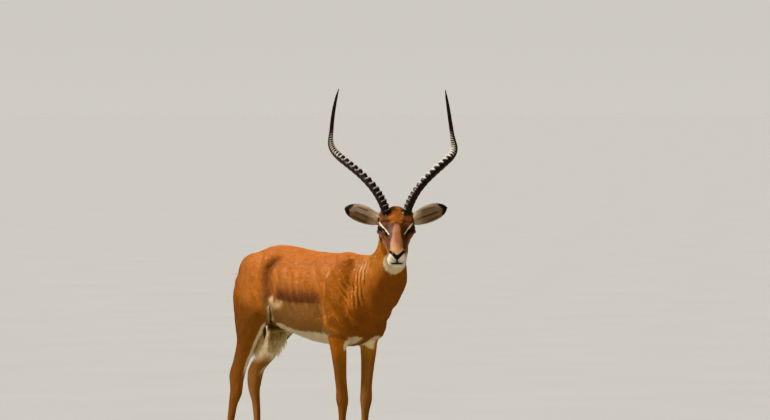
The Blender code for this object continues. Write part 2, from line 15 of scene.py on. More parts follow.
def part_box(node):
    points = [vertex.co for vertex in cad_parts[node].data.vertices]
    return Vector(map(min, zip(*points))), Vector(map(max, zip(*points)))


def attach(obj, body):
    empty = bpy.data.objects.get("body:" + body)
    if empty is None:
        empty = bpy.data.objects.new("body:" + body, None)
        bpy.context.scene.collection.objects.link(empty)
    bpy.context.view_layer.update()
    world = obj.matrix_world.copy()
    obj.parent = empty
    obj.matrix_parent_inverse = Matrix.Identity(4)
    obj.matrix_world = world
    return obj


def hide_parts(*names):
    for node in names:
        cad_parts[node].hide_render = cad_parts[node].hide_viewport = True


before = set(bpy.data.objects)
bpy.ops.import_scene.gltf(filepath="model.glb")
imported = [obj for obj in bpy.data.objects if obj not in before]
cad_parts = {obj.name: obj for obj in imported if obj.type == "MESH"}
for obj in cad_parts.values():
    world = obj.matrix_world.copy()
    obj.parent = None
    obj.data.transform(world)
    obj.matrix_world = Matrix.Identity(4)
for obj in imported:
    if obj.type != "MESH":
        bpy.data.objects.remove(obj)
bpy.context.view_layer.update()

SIDES = {"left": 1, "right": -1}
LEGS = [f"leg_{end}_{side}" for end in ("front", "hind") for side in SIDES]
BODY = ["head", "neck", "trunk", "tail", "scrotum", *LEGS]
EARS = [f"ear_{side}" for side in SIDES]
HOOVES = [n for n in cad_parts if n.startswith("hoof_")]

CHEST_REACH = 0.3878  # from the middle of the stance forward to the front of the chest
FACE_PITCH = math.radians(33)  # nose down
EYE_AT = (0.084, 0.0490, 0.0005)  # in the head's own frame
EYE_RADIUS = 0.0172


def middle(node):
    low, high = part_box(node)
    return (low + high) / 2


def head_frames():
    """The head's own frame and its level one, both from between the ears.

    +X runs down the face, or level ahead, +Y to its left, and +Z out of the forehead, or straight up.
    """
    left, right = middle("eye_left"), middle("eye_right")
    aside = (left - right).normalized()
    ahead = aside.cross(Vector((0, 0, 1))).normalized()
    down_face = Matrix.Rotation(FACE_PITCH, 3, aside) @ ahead
    turn, level = (Matrix((front, aside, front.cross(aside))).transposed() for front in (down_face, ahead))
    at = Matrix.Translation((left + right) / 2 - turn @ Vector((EYE_AT[0], 0, EYE_AT[2])))
    return at @ turn.to_4x4(), at @ level.to_4x4()


STANCE = np.array((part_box("trunk")[1].x - CHEST_REACH, middle("trunk").y, 0))
HEAD, LEVEL_HEAD = head_frames()


# ---------------------------------------------------------------- small tools
def tone(red, green, blue):
    """A colour in linear light, from its everyday values of 0 to 255."""
    share = np.array((red, green, blue)) / 255
    return np.where(share > 0.04, ((share + 0.055) / 1.055) ** 2.4, share / 12.92)


def ramp(value, start, end):
    """0 at start and 1 at end, eased; start may be the higher one."""
    share = np.clip((value - start) / (end - start), 0, 1)
    return share * share * (3 - 2 * share)


def span(value, start, first, last, end):
    """1 from first to last, eased down to 0 at start and end."""
    return ramp(value, start, first) * ramp(value, end, last)


def bell(distance, width):
    return np.exp(-((distance / width) ** 2))


def distance_to(points, route):
    """How far each point is from a bent line."""
    nearest = np.full(len(points), 1e9)
    route = np.array(route, float)
    for start, end in zip(route, route[1:]):
        run = end - start
        along = np.clip((points - start) @ run / (run @ run), 0, 1)
        away = np.linalg.norm(points - start - along[:, None] * run, axis=1)
        nearest = np.minimum(nearest, away)
    return nearest


def near(points, route, width):
    """1 on a bent line, falling off beside it."""
    return bell(distance_to(points, route), width)


def below(value, edge, blur):
    """1 below an edge and 0 above it."""
    return ramp(value, edge + blur, edge - blur)


def between(value, low, high):
    return (value > low) & (value < high)


def along(line, stations, places):
    """Points of a bent line that passes its corners at stations."""
    return np.column_stack([np.interp(places, stations, line[:, k]) for k in range(3)])


def unit(vectors):
    return vectors / np.maximum(np.linalg.norm(vectors, axis=-1, keepdims=True), 1e-9)


def square_to(way, other):
    """The direction nearest to way at a right angle to other."""
    return (way - other * way.dot(other)).normalized()


def at_stance(points):
    """Row-frame points in the stance's frame, in millimetres."""
    return (points - STANCE) * 1000


def at_head(points):
    """Row-frame points in the head's own frame, in millimetres."""
    back = np.array(HEAD.inverted())
    return (points @ back[:3, :3].T + back[:3, 3]) * 1000


def mirrored(points):
    """Points of either frame folded onto the left side."""
    return np.column_stack((points[:, 0], np.abs(points[:, 1]), points[:, 2]))


def waves(points, size, seed):
    """Soft unevenness from -1 to 1, about size across."""
    random = np.random.default_rng(seed)
    total = np.zeros(len(points))
    for direction in unit(random.normal(size=(9, 3))):
        pitch = 2 * math.pi / size * random.uniform(0.6, 1.5)
        total += np.sin(points @ direction * pitch + random.uniform(0, 2 * math.pi))
    return total / 5


def read(items, name, width=1, kind=np.float32):
    """One property of a mesh's items, with a row for each where it has more than one number."""
    flat = np.zeros(len(items) * width, kind)
    items.foreach_get(name, flat)
    return flat.reshape(-1, width) if width > 1 else flat


def positions(mesh):
    return read(mesh.vertices, "co", 3).astype(float)


def vertex_normals(mesh):
    return read(mesh.vertex_normals, "vector", 3).astype(float)


def move_to(mesh, points):
    mesh.vertices.foreach_set("co", points.astype(np.float32).ravel())
    mesh.update()


def store(mesh, name, values):
    """Keeps a number, or a colour, at each of the mesh's points."""
    values = np.asarray(values, np.float32)
    if values.ndim == 1:
        mesh.attributes.new(name, "FLOAT", "POINT").data.foreach_set("value", values)
        return
    full = np.ones((len(values), 4), np.float32)
    full[:, :3] = values
    mesh.attributes.new(name, "FLOAT_COLOR", "POINT").data.foreach_set("color", full.ravel())


def show(data, name):
    obj = bpy.data.objects.new(name, data)
    bpy.context.scene.collection.objects.link(obj)
    return obj


def mesh_from(bm, name):
    mesh = bpy.data.meshes.new(name)
    bm.to_mesh(mesh)
    bm.free()
    return mesh


def editable(*meshes):
    bm = bmesh.new()
    for mesh in meshes:
        bm.from_mesh(mesh)
    return bm


def grid(columns, rows, size=1):
    bm = bmesh.new()
    bmesh.ops.create_grid(bm, x_segments=columns, y_segments=rows, size=size)
    return bm


def ease(bm, verts, times):
    every_way = {"use_axis_x": True, "use_axis_y": True, "use_axis_z": True}
    for _ in range(times):
        bmesh.ops.smooth_vert(bm, verts=verts, factor=0.5, **every_way)


def search_tree(mesh):
    return BVHTree.FromPolygons([v.co for v in mesh.vertices], [face.vertices[:] for face in mesh.polygons])


def remeshed(nodes, swell, voxel):
    """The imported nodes, pushed out by swell, as one closed surface of small even faces."""
    bm = editable(*(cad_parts[node].data for node in nodes))
    bmesh.ops.remove_doubles(bm, verts=bm.verts, dist=1e-5)
    bm.normal_update()
    for vert in bm.verts:
        vert.co += vert.normal * swell
    obj = show(mesh_from(bm, "form"), "form")
    change = obj.modifiers.new("voxels", "REMESH")
    change.mode = "VOXEL"
    change.voxel_size = voxel
    mesh = bpy.data.meshes.new_from_object(obj.evaluated_get(bpy.context.evaluated_depsgraph_get()))
    bpy.data.objects.remove(obj)
    return mesh


def finish_piece(obj, material, slot, *replaced):
    obj.data.materials.append(material)
    obj.data.shade_smooth()
    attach(obj, "root")
    if replaced:
        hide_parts(*replaced)


# ---------------------------------------------------------------- the camera
VIEW_AZIMUTH = math.radians(50)  # from the animal's right towards its front
VIEW_DISTANCE = 20.0
VIEW_HEIGHT = 1.358
VIEW_ASIDE = 0.237  # the sight line passes this far to the right of the stance's middle
VIEW_TILT = math.radians(-1.02)
VIEW_WIDTH = 2.8105  # at the animal
SENSOR_WIDTH = 36  # in millimetres
FAR = 9000


def make_camera():
    """Looks almost level at the ram from its right front, from as far as a long lens does."""
    data = bpy.data.cameras.new("camera")
    data.sensor_width = SENSOR_WIDTH
    data.lens = SENSOR_WIDTH * VIEW_DISTANCE / VIEW_WIDTH
    data.clip_end = FAR
    camera = show(data, "camera")
    back = Vector((math.sin(VIEW_AZIMUTH), -math.cos(VIEW_AZIMUTH), 0))
    right = Vector((math.cos(VIEW_AZIMUTH), math.sin(VIEW_AZIMUTH), 0))
    camera.location = Vector(STANCE) + back * VIEW_DISTANCE + right * VIEW_ASIDE
    camera.location.z = VIEW_HEIGHT
    camera.rotation_euler = (math.pi / 2 + VIEW_TILT, 0, VIEW_AZIMUTH)
    bpy.context.scene.camera = camera
    bpy.context.scene.view_settings.view_transform = "Khronos PBR Neutral"


# ---------------------------------------------------------------- finishes
class Shade:
    """A shader socket that takes part in Python expressions."""

    def __init__(self, finish, socket):
        self.finish = finish
        self.socket = socket

    def maths(self, operation, first, second):
        return self.finish.node("Math", {"operation": operation}, {0: first, 1: second})

    def __add__(self, other):
        return self.maths("ADD", self, other)

    def __sub__(self, other):
        return self.maths("SUBTRACT", self, other)

    def __rsub__(self, other):
        return self.maths("SUBTRACT", other, self)

    def __mul__(self, other):
        return self.maths("MULTIPLY", self, other)


class Finish:
    """A material, and the one way its nodes are made."""

    def __init__(self, name, **settings):
        self.material = bpy.data.materials.new(name)
        self.material.use_nodes = True
        self.tree = self.material.node_tree
        self.shader = self.tree.nodes["Principled BSDF"]
        for socket, value in settings.items():
            self.shader.inputs[socket.replace("_", " ")].default_value = value

    def node(self, kind, settings, inputs, output=0):
        made = self.tree.nodes.new("ShaderNode" + kind)
        for name, value in settings.items():
            if name == "stops":
                self.set_stops(made.color_ramp, value)
            else:
                setattr(made, name, value)
        for key, value in inputs.items():
            self.feed(made.inputs[key], value)
        return Shade(self, made.outputs[output])

    def set_stops(self, colour_ramp, stops):
        while len(colour_ramp.elements) < len(stops):
            colour_ramp.elements.new(0.5)
        for element, (place, colour) in zip(colour_ramp.elements, stops):
            element.position = place
            element.color = (*colour, 1)

    def feed(self, socket, value):
        if isinstance(value, Shade):
            self.tree.links.new(value.socket, socket)
        else:
            socket.default_value = value

    def wire(self, socket, value):
        self.feed(self.shader.inputs[socket], value)

    def place(self, scale=(1, 1, 1)):
        """Object coordinates, stretched."""
        at = self.node("TexCoord", {}, {}, "Object")
        return self.node("Mapping", {}, {"Vector": at, "Scale": scale})

    def noise(self, scale, detail=3, stretch=(1, 1, 1), roughness=0.5):
        inputs = {"Vector": self.place(stretch), "Scale": scale, "Detail": detail, "Roughness": roughness}
        return self.node("TexNoise", {}, inputs, "Fac")

    def kept(self, name, output="Fac"):
        return self.node("Attribute", {"attribute_name": name}, {}, output)

    def blend(self, factor, first, second, way="MIX"):
        """Two colours through a mix."""
        settings = {"data_type": "RGBA", "blend_type": way}
        return self.node("Mix", settings, {"Factor": factor, 6: first, 7: second}, 2)

    def spread(self, factor, *stops):
        """A colour, or a grey that serves as a number, from a ramp."""
        return self.node("ValToRGB", {"stops": stops}, {"Fac": factor})

    def bump(self, height, distance):
        inputs = {"Height": height, "Distance": distance, "Strength": 1.0}
        self.wire("Normal", self.node("Bump", {}, inputs))


def grey(value):
    return (value, value, value)


def coat_finish(name, fine):
    """The markings kept on the mesh, broken up by single hairs; bare skin is smoother and pebbled."""
    finish = Finish(name, Roughness=0.5, Specular_IOR_Level=0.42, Sheen_Weight=0.05, Sheen_Roughness=0.4)
    streaks = finish.noise(fine, 4, (1, 1, 0.35), 0.6)
    patches = finish.noise(28, 3)
    light = finish.spread(streaks * 0.6 + patches * 0.4, (0.3, grey(0.86)), (0.7, grey(1.12)))
    finish.wire("Base Color", finish.blend(1.0, finish.kept("markings", "Color"), light, "MULTIPLY"))
    bare = finish.kept("bare")
    finish.wire("Roughness", 0.5 - bare * 0.14)
    pebbles = finish.node("TexVoronoi", {}, {"Vector": finish.place(), "Scale": 700.0}, "Distance")
    finish.bump(streaks * (1 - bare) + pebbles * bare * 0.7, 0.0006)
    return finish.material


def horn_finish():
    """Near-black sheath with long fine fibres, with a painted highlight that makes the crests of the rings
    pale.
    """
    finish = Finish("horn_sheath", Specular_IOR_Level=0.45)
    fibres = finish.noise(160, 5, (1, 1, 0.12), 0.65)
    dirt = finish.noise(55, 4)
    stops = (0.32, tone(20, 15, 14)), (0.55, tone(36, 27, 24)), (0.75, tone(60, 46, 38))
    sheath = finish.spread(fibres * 0.65 + dirt * 0.35, *stops)
    # Painted highlight: the crests of the rings, as kept on the mesh, turn pale.
    crest_highlight = finish.kept("crest")
    finish.wire("Base Color", finish.blend(crest_highlight * (dirt * 0.8 + 0.6), sheath, (*tone(222, 208, 190), 1)))
    finish.wire("Roughness", fibres * 0.25 + 0.36)
    finish.bump(fibres + dirt * 0.5, 0.0008)
    return finish.material


def hoof_finish():
    """Blackish horn with growth lines round it."""
    finish = Finish("hoof_horn", Specular_IOR_Level=0.4)
    settings = {"bands_direction": "Z", "wave_profile": "SIN"}
    inputs = {"Vector": finish.place(), "Scale": 95.0, "Distortion": 2.5, "Detail": 2.0}
    lines = finish.node("TexWave", settings, inputs, "Fac")
    grain = finish.noise(240, 3, (1, 1, 0.3))
    stops = (0.25, tone(22, 19, 17)), (0.6, tone(46, 39, 33)), (0.85, tone(86, 74, 60))
    finish.wire("Base Color", finish.spread(lines * 0.14 + grain * 0.86, *stops))
    finish.wire("Roughness", grain * 0.3 + 0.42)
    finish.bump(lines * 0.25 + grain * 0.5, 0.0005)
    return finish.material


def eye_finish():
    """Dark brown eye with a level, wider-than-high pupil under a clear wet coat."""
    wet = {"Coat_Weight": 0.5, "Coat_Roughness": 0.02, "Coat_IOR": 1.35}
    finish = Finish("eye_gloss", Roughness=0.12, Specular_IOR_Level=0.2, **wet)
    iris = finish.kept("iris")
    pupil = finish.kept("pupil")
    fibres = finish.noise(420, 3)
    stops = (0.0, tone(20, 11, 8)), (0.55, tone(46, 26, 15)), (0.9, tone(14, 9, 8))
    brown = finish.spread(iris + fibres * 0.2 - 0.1, *stops)
    finish.wire("Base Color", finish.blend(pupil, brown, (*tone(5, 5, 8), 1)))
    return finish.material


def floor_finish():
    finish = Finish("floor_paint", Roughness=0.85, Specular_IOR_Level=0.2)
    cloud = finish.noise(1.5, 2)
    finish.wire("Base Color", finish.spread(cloud, (0.2, tone(170, 169, 166)), (0.8, tone(174, 173, 170))))
    return finish.material


# ---------------------------------------------------------------- the skin's form
SKIN_VOXEL = 0.0057
JOIN_SWELL = 0.0004  # closes the thin cuts between the body's nodes
COAT_DEPTH = {"head": 1.0, "neck": 2.0, "trunk": 2.4, "tail": 7.5, "scrotum": 0.6}  # in millimetres
COAT_DEPTH.update(dict.fromkeys(LEGS, 1.2))

# Lines on the left of the face, in the head's own frame: how far they stand out, half width and places.
FACE_LINES = {
    "mouth": (-3, 2, (247, 0, -41.5), (244, 10, -42.5), (234, 21.5, -45.5), (215, 30, -49), (192, 33, -51),
              (170, 34.5, -52)),
    "upper_lip": (1.2, 4.2, (248, 0, -35.5), (235, 21.5, -40), (215, 31, -43.5), (180, 34.5, -46)),
    "lower_lip": (0.7, 4, (244, 0, -48), (230, 20.5, -52), (210, 29, -55), (175, 33, -58)),
    "nose": (0.6, 6, (206, 26.6, -18), (216, 24, -14), (227, 18.2, -12.5), (237, 10.5, -13),
             (245.5, 0, -18.5)),
    "nostril": (-5.8, 2.6, (205.5, 28.5, -21), (208, 27.5, -15), (216, 24.5, -12), (226, 20, -13)),
    "nostril_rim": (1.5, 3.2, (202, 27, -10), (213, 22.5, -5), (226, 17, -6)),
    "philtrum": (-1.3, 1.4, (247, 0, -20), (249, 0, -33), (248, 0, -41)),
    "cheek_bone": (1.6, 7.5, (74, 53, -26), (115, 47, -27), (165, 36, -28)),
    "hollow": (-1.6, 11, (100, 46, -45), (150, 36, -44)),
    "brow": (1.6, 4, (58, 60, 6), (74, 60, 15), (92, 53, 17.5), (109, 39, 9), (136, 27, 6)),
    "under_brow": (0, 1, (80, 60, 6), (98, 52, 6), (116, 41, 0), (138, 33, -1)),
    "tear": (-1.8, 3, (108, 47, 0), (124, 39, -2), (146, 33, -4)),
    "face_edge": (-1.2, 8, (110, 26, 12), (150, 24, -2)),
    "ridge": (1, 10, (120, 0, 18), (200, 0, -3)),
}
LINES = {}  # their places, once they are laid on the flesh

# Lines of the shoulder, neck and flank on both sides alike, in the stance's frame.
BODY_LINES = (
    (4.5, 14, (100, 85, 790), (165, 100, 740), (225, 100, 660), (255, 94, 620)),
    (-4.5, 13, (75, 90, 790), (120, 108, 720), (150, 112, 640), (165, 108, 585)),
    (-4.2, 10, (230, 94, 700), (262, 94, 650), (285, 90, 605)),
    (4.2, 13, (205, 98, 620), (160, 104, 590), (140, 96, 560)),
    (-6.75, 12, (-165, 100, 705), (-178, 96, 660), (-170, 86, 610), (-150, 70, 575)),
    (-18, 19, (-160, 80, 820), (-185, 98, 780), (-178, 104, 735), (-158, 106, 690)),
    (7.5, 18, (-95, 100, 775), (-78, 108, 745), (-85, 112, 700)),
    (3.3, 12, (-100, 108, 700), (-135, 104, 650), (-150, 92, 610)),
    (4.5, 16, (-255, 94, 800), (-262, 108, 740), (-252, 112, 690)),
    (5.25, 13, (-230, 60, 850), (-215, 85, 820), (-200, 100, 780)),
    (-3.6, 14, (-330, 104, 760), (-345, 112, 680), (-350, 108, 600)),
    (2.7, 12, (-395, 85, 740), (-400, 86, 660), (-395, 80, 590)),
    (3.9, 12, (200, 30, 850), (120, 60, 835), (60, 70, 820)),
    (3.3, 11, (310, 62, 790), (350, 60, 720), (372, 50, 660)),
    (1.5, 30, (20, 115, 700), (-60, 118, 690)),
)
PLEAT_STEP = 19.5  # in millimetres, like the next
RIB_STEP = 36


def on_head(at):
    return at.x > -40 and at.z > -112 and abs(at.y) < 85


def on_face(at):
    muzzle = at.x > 192 and at.z > -85
    socket = abs(at.x - 92) < 40 and abs(at.z) < 32 and 26 < abs(at.y)
    return muzzle or socket


def flesh_form():
    """The body as one closed surface, finer over the head and finest round the muzzle and eyes."""
    bm = editable(remeshed(BODY, JOIN_SWELL, SKIN_VOXEL))
    ease(bm, bm.verts, 3)
    back = HEAD.inverted()
    for wanted in (on_head, on_face):
        chosen = {vert for vert in bm.verts if wanted(back @ vert.co * 1000)}
        edges = [edge for edge in bm.edges if chosen.issuperset(edge.verts)]
        bmesh.ops.subdivide_edges(bm, edges=edges, cuts=1, use_grid_fill=True)
        ease(bm, [vert for vert in bm.verts if wanted(back @ vert.co * 1000)], 2)
    return mesh_from(bm, "flesh")


def node_at(points):
    """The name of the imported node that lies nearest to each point."""
    meshes = [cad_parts[node].data for node in BODY]
    owners = np.repeat(BODY, [len(mesh.polygons) for mesh in meshes])
    bm = editable(*meshes)
    tree = BVHTree.FromBMesh(bm)
    bm.free()
    return owners[[tree.find_nearest(Vector(p))[2] for p in points]]


def settle_lines(tree):
    """Lays the face's lines on the smooth flesh in short steps."""
    for name, (_, _, *route) in FACE_LINES.items():
        steps = np.linspace(0, len(route) - 1, 4 * len(route))
        fine = along(np.array(route), range(len(route)), steps) / 1000
        LINES[name] = at_head(np.array([tree.find_nearest(HEAD @ Vector(p))[0] for p in fine]))


def face_relief(at):
    """How far the face stands out of, or sinks in, its smooth form, in the head's own frame."""
    at = mirrored(at)
    return sum(height * near(at, LINES[name], width) for name, (height, width, *_) in FACE_LINES.items())


def leg_relief(at, node):
    """Tendons, bones and joints of one leg, in the stance's frame."""
    x, y, z = at.T
    side = np.abs(y - at_stance(np.array(middle(node)))[1])
    shin = bell(z - 200, 75) * ramp(side, 2, 6)
    relief = bell(z - 85, 10)
    if "front" in node:
        relief += 1.2 * bell(z - 305, 16) * ramp(x, 185, 205) - shin * bell(x - 180, 3)
        return relief - 1.2 * bell(z - 420, 50) * bell(x - 205, 10)
    relief -= 1.4 * bell(z - 410, 60) * bell(x + 418, 7) * ramp(side, 2, 7)
    return relief - shin * bell(x + 455, 3)


def pleated(at):
    """How far the right of the neck's root, where the head crowds it, is in long and in broken folds."""
    right = ramp(-at[:, 1], 20, 50)
    sided = mirrored(at)
    long = near(sided, ((322, 66, 800), (318, 74, 745), (304, 80, 695)), 38)
    return right * long, right * near(sided, ((244, 92, 740), (262, 90, 690)), 30)


def pleats(at):
    """The folds' height from -1 to 1."""
    long, broken = pleated(at)
    x, _, z = at.T
    across = x + 0.18 * (z - 750) + 4 * waves(at, 50, 3)
    folds = long * np.sin(2 * math.pi * across / PLEAT_STEP)
    return folds + 0.6 * broken * np.sin(2 * math.pi * (across + 0.5 * (z - 700)) / PLEAT_STEP)


def body_relief(at):
    """Muscles, folds and ribs that show through the coat, in the stance's frame."""
    sided = mirrored(at)
    x, aside, z = sided.T
    relief = sum(height * near(sided, route, width) for height, width, *route in BODY_LINES)
    relief += 4.4 * pleats(at) + waves(at, 45, 5) * ramp(z, 450, 550)
    # The shoulder's rear edge stands off the chest, and the barrel swells behind it.
    relief += 5 * ramp(x, 145, 180) * span(z, 560, 620, 740, 820)
    relief += 3.5 * span(x, -120, -75, 110, 150) * bell(z - 720, 55)
    ribs = span(x, -130, -50, 40, 120) * bell(z - 700, 55)
    relief += 1.6 * ribs * np.sin(2 * math.pi * (x + 0.35 * (z - 700)) / RIB_STEP)
    spine = ramp(aside, 16, 4) * ramp(z, 800, 830) * ramp(x, 220, 160)
    return relief + 1.6 * spine


def smoothed(mesh, values, times):
    """Values at the mesh's points, evened out with their neighbours'."""
    ends = read(mesh.edges, "vertices", 2, np.int32).T
    count = len(mesh.vertices)
    shares = 1 + np.bincount(ends.ravel(), minlength=count)
    for _ in range(times):
        total = values.copy()
        for column in range(values.shape[1]):
            for one, other in (ends, ends[::-1]):
                total[:, column] += np.bincount(one, values[other, column], count)
        values = total / shares[:, None]
    return values


def shape_flesh(mesh):
    """Draws the flesh in by the coat's depth and gives it its relief; returns each point's node."""
    points, normals = positions(mesh), vertex_normals(mesh)
    nodes = node_at(points)
    depth = smoothed(mesh, np.array([[COAT_DEPTH[node]] for node in nodes]), 12)
    at, in_head = at_stance(points), at_head(points)
    head = ramp(in_head[:, 0], -20, 30) * ramp(in_head[:, 2], -115, -90) * (nodes == "head")
    body = body_relief(at)
    relief = face_relief(in_head) * head + body * (1 - head) * np.isin(nodes, ["trunk", "neck"])
    for leg in LEGS:
        ours = nodes == leg
        relief[ours] += leg_relief(at[ours], leg) + body[ours] * ramp(at[ours][:, 2], 500, 580)
    relief = np.where(head > 0.5, relief, smoothed(mesh, relief[:, None], 2)[:, 0])
    move_to(mesh, points + normals * (relief[:, None] - depth) / 1000)
    return nodes


# ---------------------------------------------------------------- ears and lids
EAR_LENGTH = 0.141
EAR_WIDTH = 0.064
EAR_WALL = 0.0026
EAR_ROOT = (0.010, 0.050, -0.026)  # in the head's own frame
EAR_FOLD = 0.0022  # how far its folds and its edge rise inside
FOLD_PLACES = (-0.42, 0, 0.42)  # from edge to edge, which are at -1 and 1

# The opening between the lids, in degrees round the eyeball from the middle of what shows.
EYE_HALF_WIDE = 55
UPPER_LID = 25
LOWER_LID = 28
# The lids' stations from their edge outwards: their height off the eyeball, and how dark they are.
LID_HEIGHTS = (-0.0012, 0.0002, 0.0012, 0.0019, 0.0020, 0.0012, *(0.0016,) * 7)
LID_DARK = (1, 1, 1, 0.95, 0.8, 0.55, 0.25, *(0,) * 6)
LAST_STATION = 12
LID_CLEARANCE = 0.0012  # of the flesh off the eyeball where the lids may meet it


def ear_frame(s):
    """Places an ear: its own +Z runs to the tip and +X out of the cup."""
    tip = Vector((-0.10, s * 0.93, 0.36)).normalized()
    facing = square_to(Vector((0.94, s * -0.05, -0.10)), tip)
    turn = Matrix((facing, tip.cross(facing), tip)).transposed().to_4x4()
    root = HEAD @ Vector((EAR_ROOT[0], s * EAR_ROOT[1], EAR_ROOT[2]))
    return Matrix.Translation(root) @ LEVEL_HEAD.to_3x3().to_4x4() @ turn


def ear_form(s):
    """A thin cupped leaf with three long folds inside, a rolled edge and a drawn-out tip."""
    bm = grid(30, 44)
    across_layer, up_layer = (bm.verts.layers.float.new(name) for name in ("ear_across", "ear_up"))
    for vert in bm.verts:
        across, up = vert.co.x, (vert.co.y + 1) / 2
        vert[across_layer], vert[up_layer] = across, max(up, 0.01)
        leaf = 0.32 + 0.68 * math.sin(0.82 * math.pi * up**0.9)
        half = max(EAR_WIDTH / 2 * leaf * (1 - up**10) ** 0.5, 0.0022) - 0.0008
        roll = math.radians(118 - 62 * up)
        radius = half / math.sin(min(roll, math.pi / 2))
        fade = max(0, math.sin(1.15 * math.pi * up)) ** 0.6
        fold = EAR_FOLD * fade * sum(bell(across - place, 0.10) for place in FOLD_PLACES)
        rim = EAR_FOLD * max(0, abs(across) - 0.86) / 0.14
        angle = across * roll
        out = fold - rim - radius * (1 - math.cos(angle))
        vert.co = (out, (radius - fold) * math.sin(angle), up * EAR_LENGTH)
    bmesh.ops.recalc_face_normals(bm, faces=bm.faces)
    bmesh.ops.solidify(bm, geom=bm.faces, thickness=EAR_WALL)
    # The faces round the edge come in any order, so that all faces are sorted.
    bm.verts.index_update()
    count = len(bm.verts)
    bm.faces.sort(key=lambda face: face.verts[0].index * count + face.verts[1].index)
    bmesh.ops.transform(bm, matrix=ear_frame(s), verts=bm.verts)
    bmesh.ops.recalc_face_normals(bm, faces=bm.faces)
    return mesh_from(bm, "ear")


def gaze_of(s):
    """Where an eye looks: outwards, forwards and a little up."""
    return (HEAD.to_3x3() @ Vector((0.45, s * 0.86, 0.20))).normalized()


def lid_form(s, flesh):
    """Both lids of one eye: a closed band that leaves the flesh, rounds its edge and ends on the eyeball."""
    centre = HEAD @ Vector((EYE_AT[0], s * EYE_AT[1], EYE_AT[2]))
    gaze = gaze_of(s)
    ahead = square_to(HEAD.to_3x3() @ Vector((0.90, s * -0.10, -0.20)), gaze)
    above = gaze.cross(ahead) * -s
    bm = grid(72, LAST_STATION)
    rim = bm.verts.layers.float.new("lid_rim")

    def ray_at(angle, swing):
        aside = ahead * math.cos(angle) + above * math.sin(angle)
        return gaze * math.cos(swing) + aside * math.sin(swing)

    def flesh_at(ray):
        hit = flesh.ray_cast(centre + ray * 0.05, -ray, 0.05)[0]
        return (hit - centre).length if hit else 0

    def opening(angle):
        """Where the lids' edge is in this direction: its bearing and its swing from the middle."""
        wide = EYE_HALF_WIDE * math.cos(angle)
        lid = UPPER_LID if math.sin(angle) > 0 else LOWER_LID
        high = lid * math.copysign(abs(math.sin(angle)) ** 1.25, math.sin(angle))
        return math.atan2(high, wide), math.radians(math.hypot(wide, high))

    for vert in bm.verts:
        station = round((vert.co.y + 1) / 2 * LAST_STATION)
        bearing, edge = opening(math.pi * (vert.co.x + 1))
        bearing_out = math.atan2(math.sin(bearing) * 1.6, math.cos(bearing))
        # The band goes on outwards until the flesh stands clear of the eyeball.
        meet = edge + 0.30
        while meet < 2.2 and flesh_at(ray_at(bearing_out, meet)) < EYE_RADIUS + LID_CLEARANCE:
            meet += 0.04
        meet += 0.10
        share = max(0, station - 2) / (LAST_STATION - 2)
        bearing += (bearing_out - bearing) * share
        ray = ray_at(bearing, edge + (meet - edge) * share**1.25)
        blend = ramp(share, 0, 1)
        outer = max(flesh_at(ray_at(bearing_out, meet)), EYE_RADIUS - 0.001) - 0.0014
        vert.co = centre + ray * ((EYE_RADIUS + LID_HEIGHTS[station]) * (1 - blend) + outer * blend)
        vert[rim] = LID_DARK[station]
    bmesh.ops.remove_doubles(bm, verts=bm.verts, dist=1e-6)
    bmesh.ops.recalc_face_normals(bm, faces=bm.faces)
    if sum((face.calc_center_median() - centre).dot(face.normal) for face in bm.faces) < 0:
        bmesh.ops.reverse_faces(bm, faces=bm.faces)
    return mesh_from(bm, "lids")


# ---------------------------------------------------------------- the markings
CHESTNUT = tone(192, 112, 40)
SUNLIT_BACK_ORANGE = tone(198, 112, 36)
NECK_BROWN_AND_SHADE = tone(146, 82, 32)
SUNLIT_GOLD = tone(216, 140, 62)
FAWN = tone(154, 104, 56)
LEG_FAWN = tone(150, 92, 40)
CREAM = tone(236, 198, 146)
WHITE = tone(232, 218, 192)
BELLY_WHITE = tone(244, 220, 176)
BLACK = tone(24, 19, 17)
DARK_BROWN = tone(62, 36, 20)
PAINTED_SHADE_RED = tone(104, 54, 24)
CHEEK_BROWN = tone(146, 90, 48)
GREY_TAN = tone(160, 126, 92)
FOREHEAD_BROWN = tone(112, 64, 30)
BAND_BROWN = tone(92, 52, 28)
LID_OLIVE = tone(112, 98, 74)
RIM_BLACK = tone(20, 16, 15)
BRIDGE_TAN = tone(184, 126, 88)
TAN = tone(184, 138, 90)
LIP_GREY = tone(130, 118, 108)
TUFT_ORANGE = tone(178, 102, 36)
LEATHER = tone(24, 21, 24)
EAR_GREY = tone(152, 128, 106)
EAR_DARK = tone(58, 34, 26)
SCROTUM_GREY = tone(60, 50, 36)


class Paint:
    """Colours at points, laid one over another."""

    def __init__(self, count, base):
        self.colours = np.tile(base, (count, 1))

    def lay(self, colour, cover):
        cover = np.clip(cover, 0, 1)[:, None]
        self.colours = self.colours * (1 - cover) + colour * cover

    def within(self, shown):
        """Lays colours only as far as shown."""
        return lambda colour, cover: self.lay(colour, cover * shown)


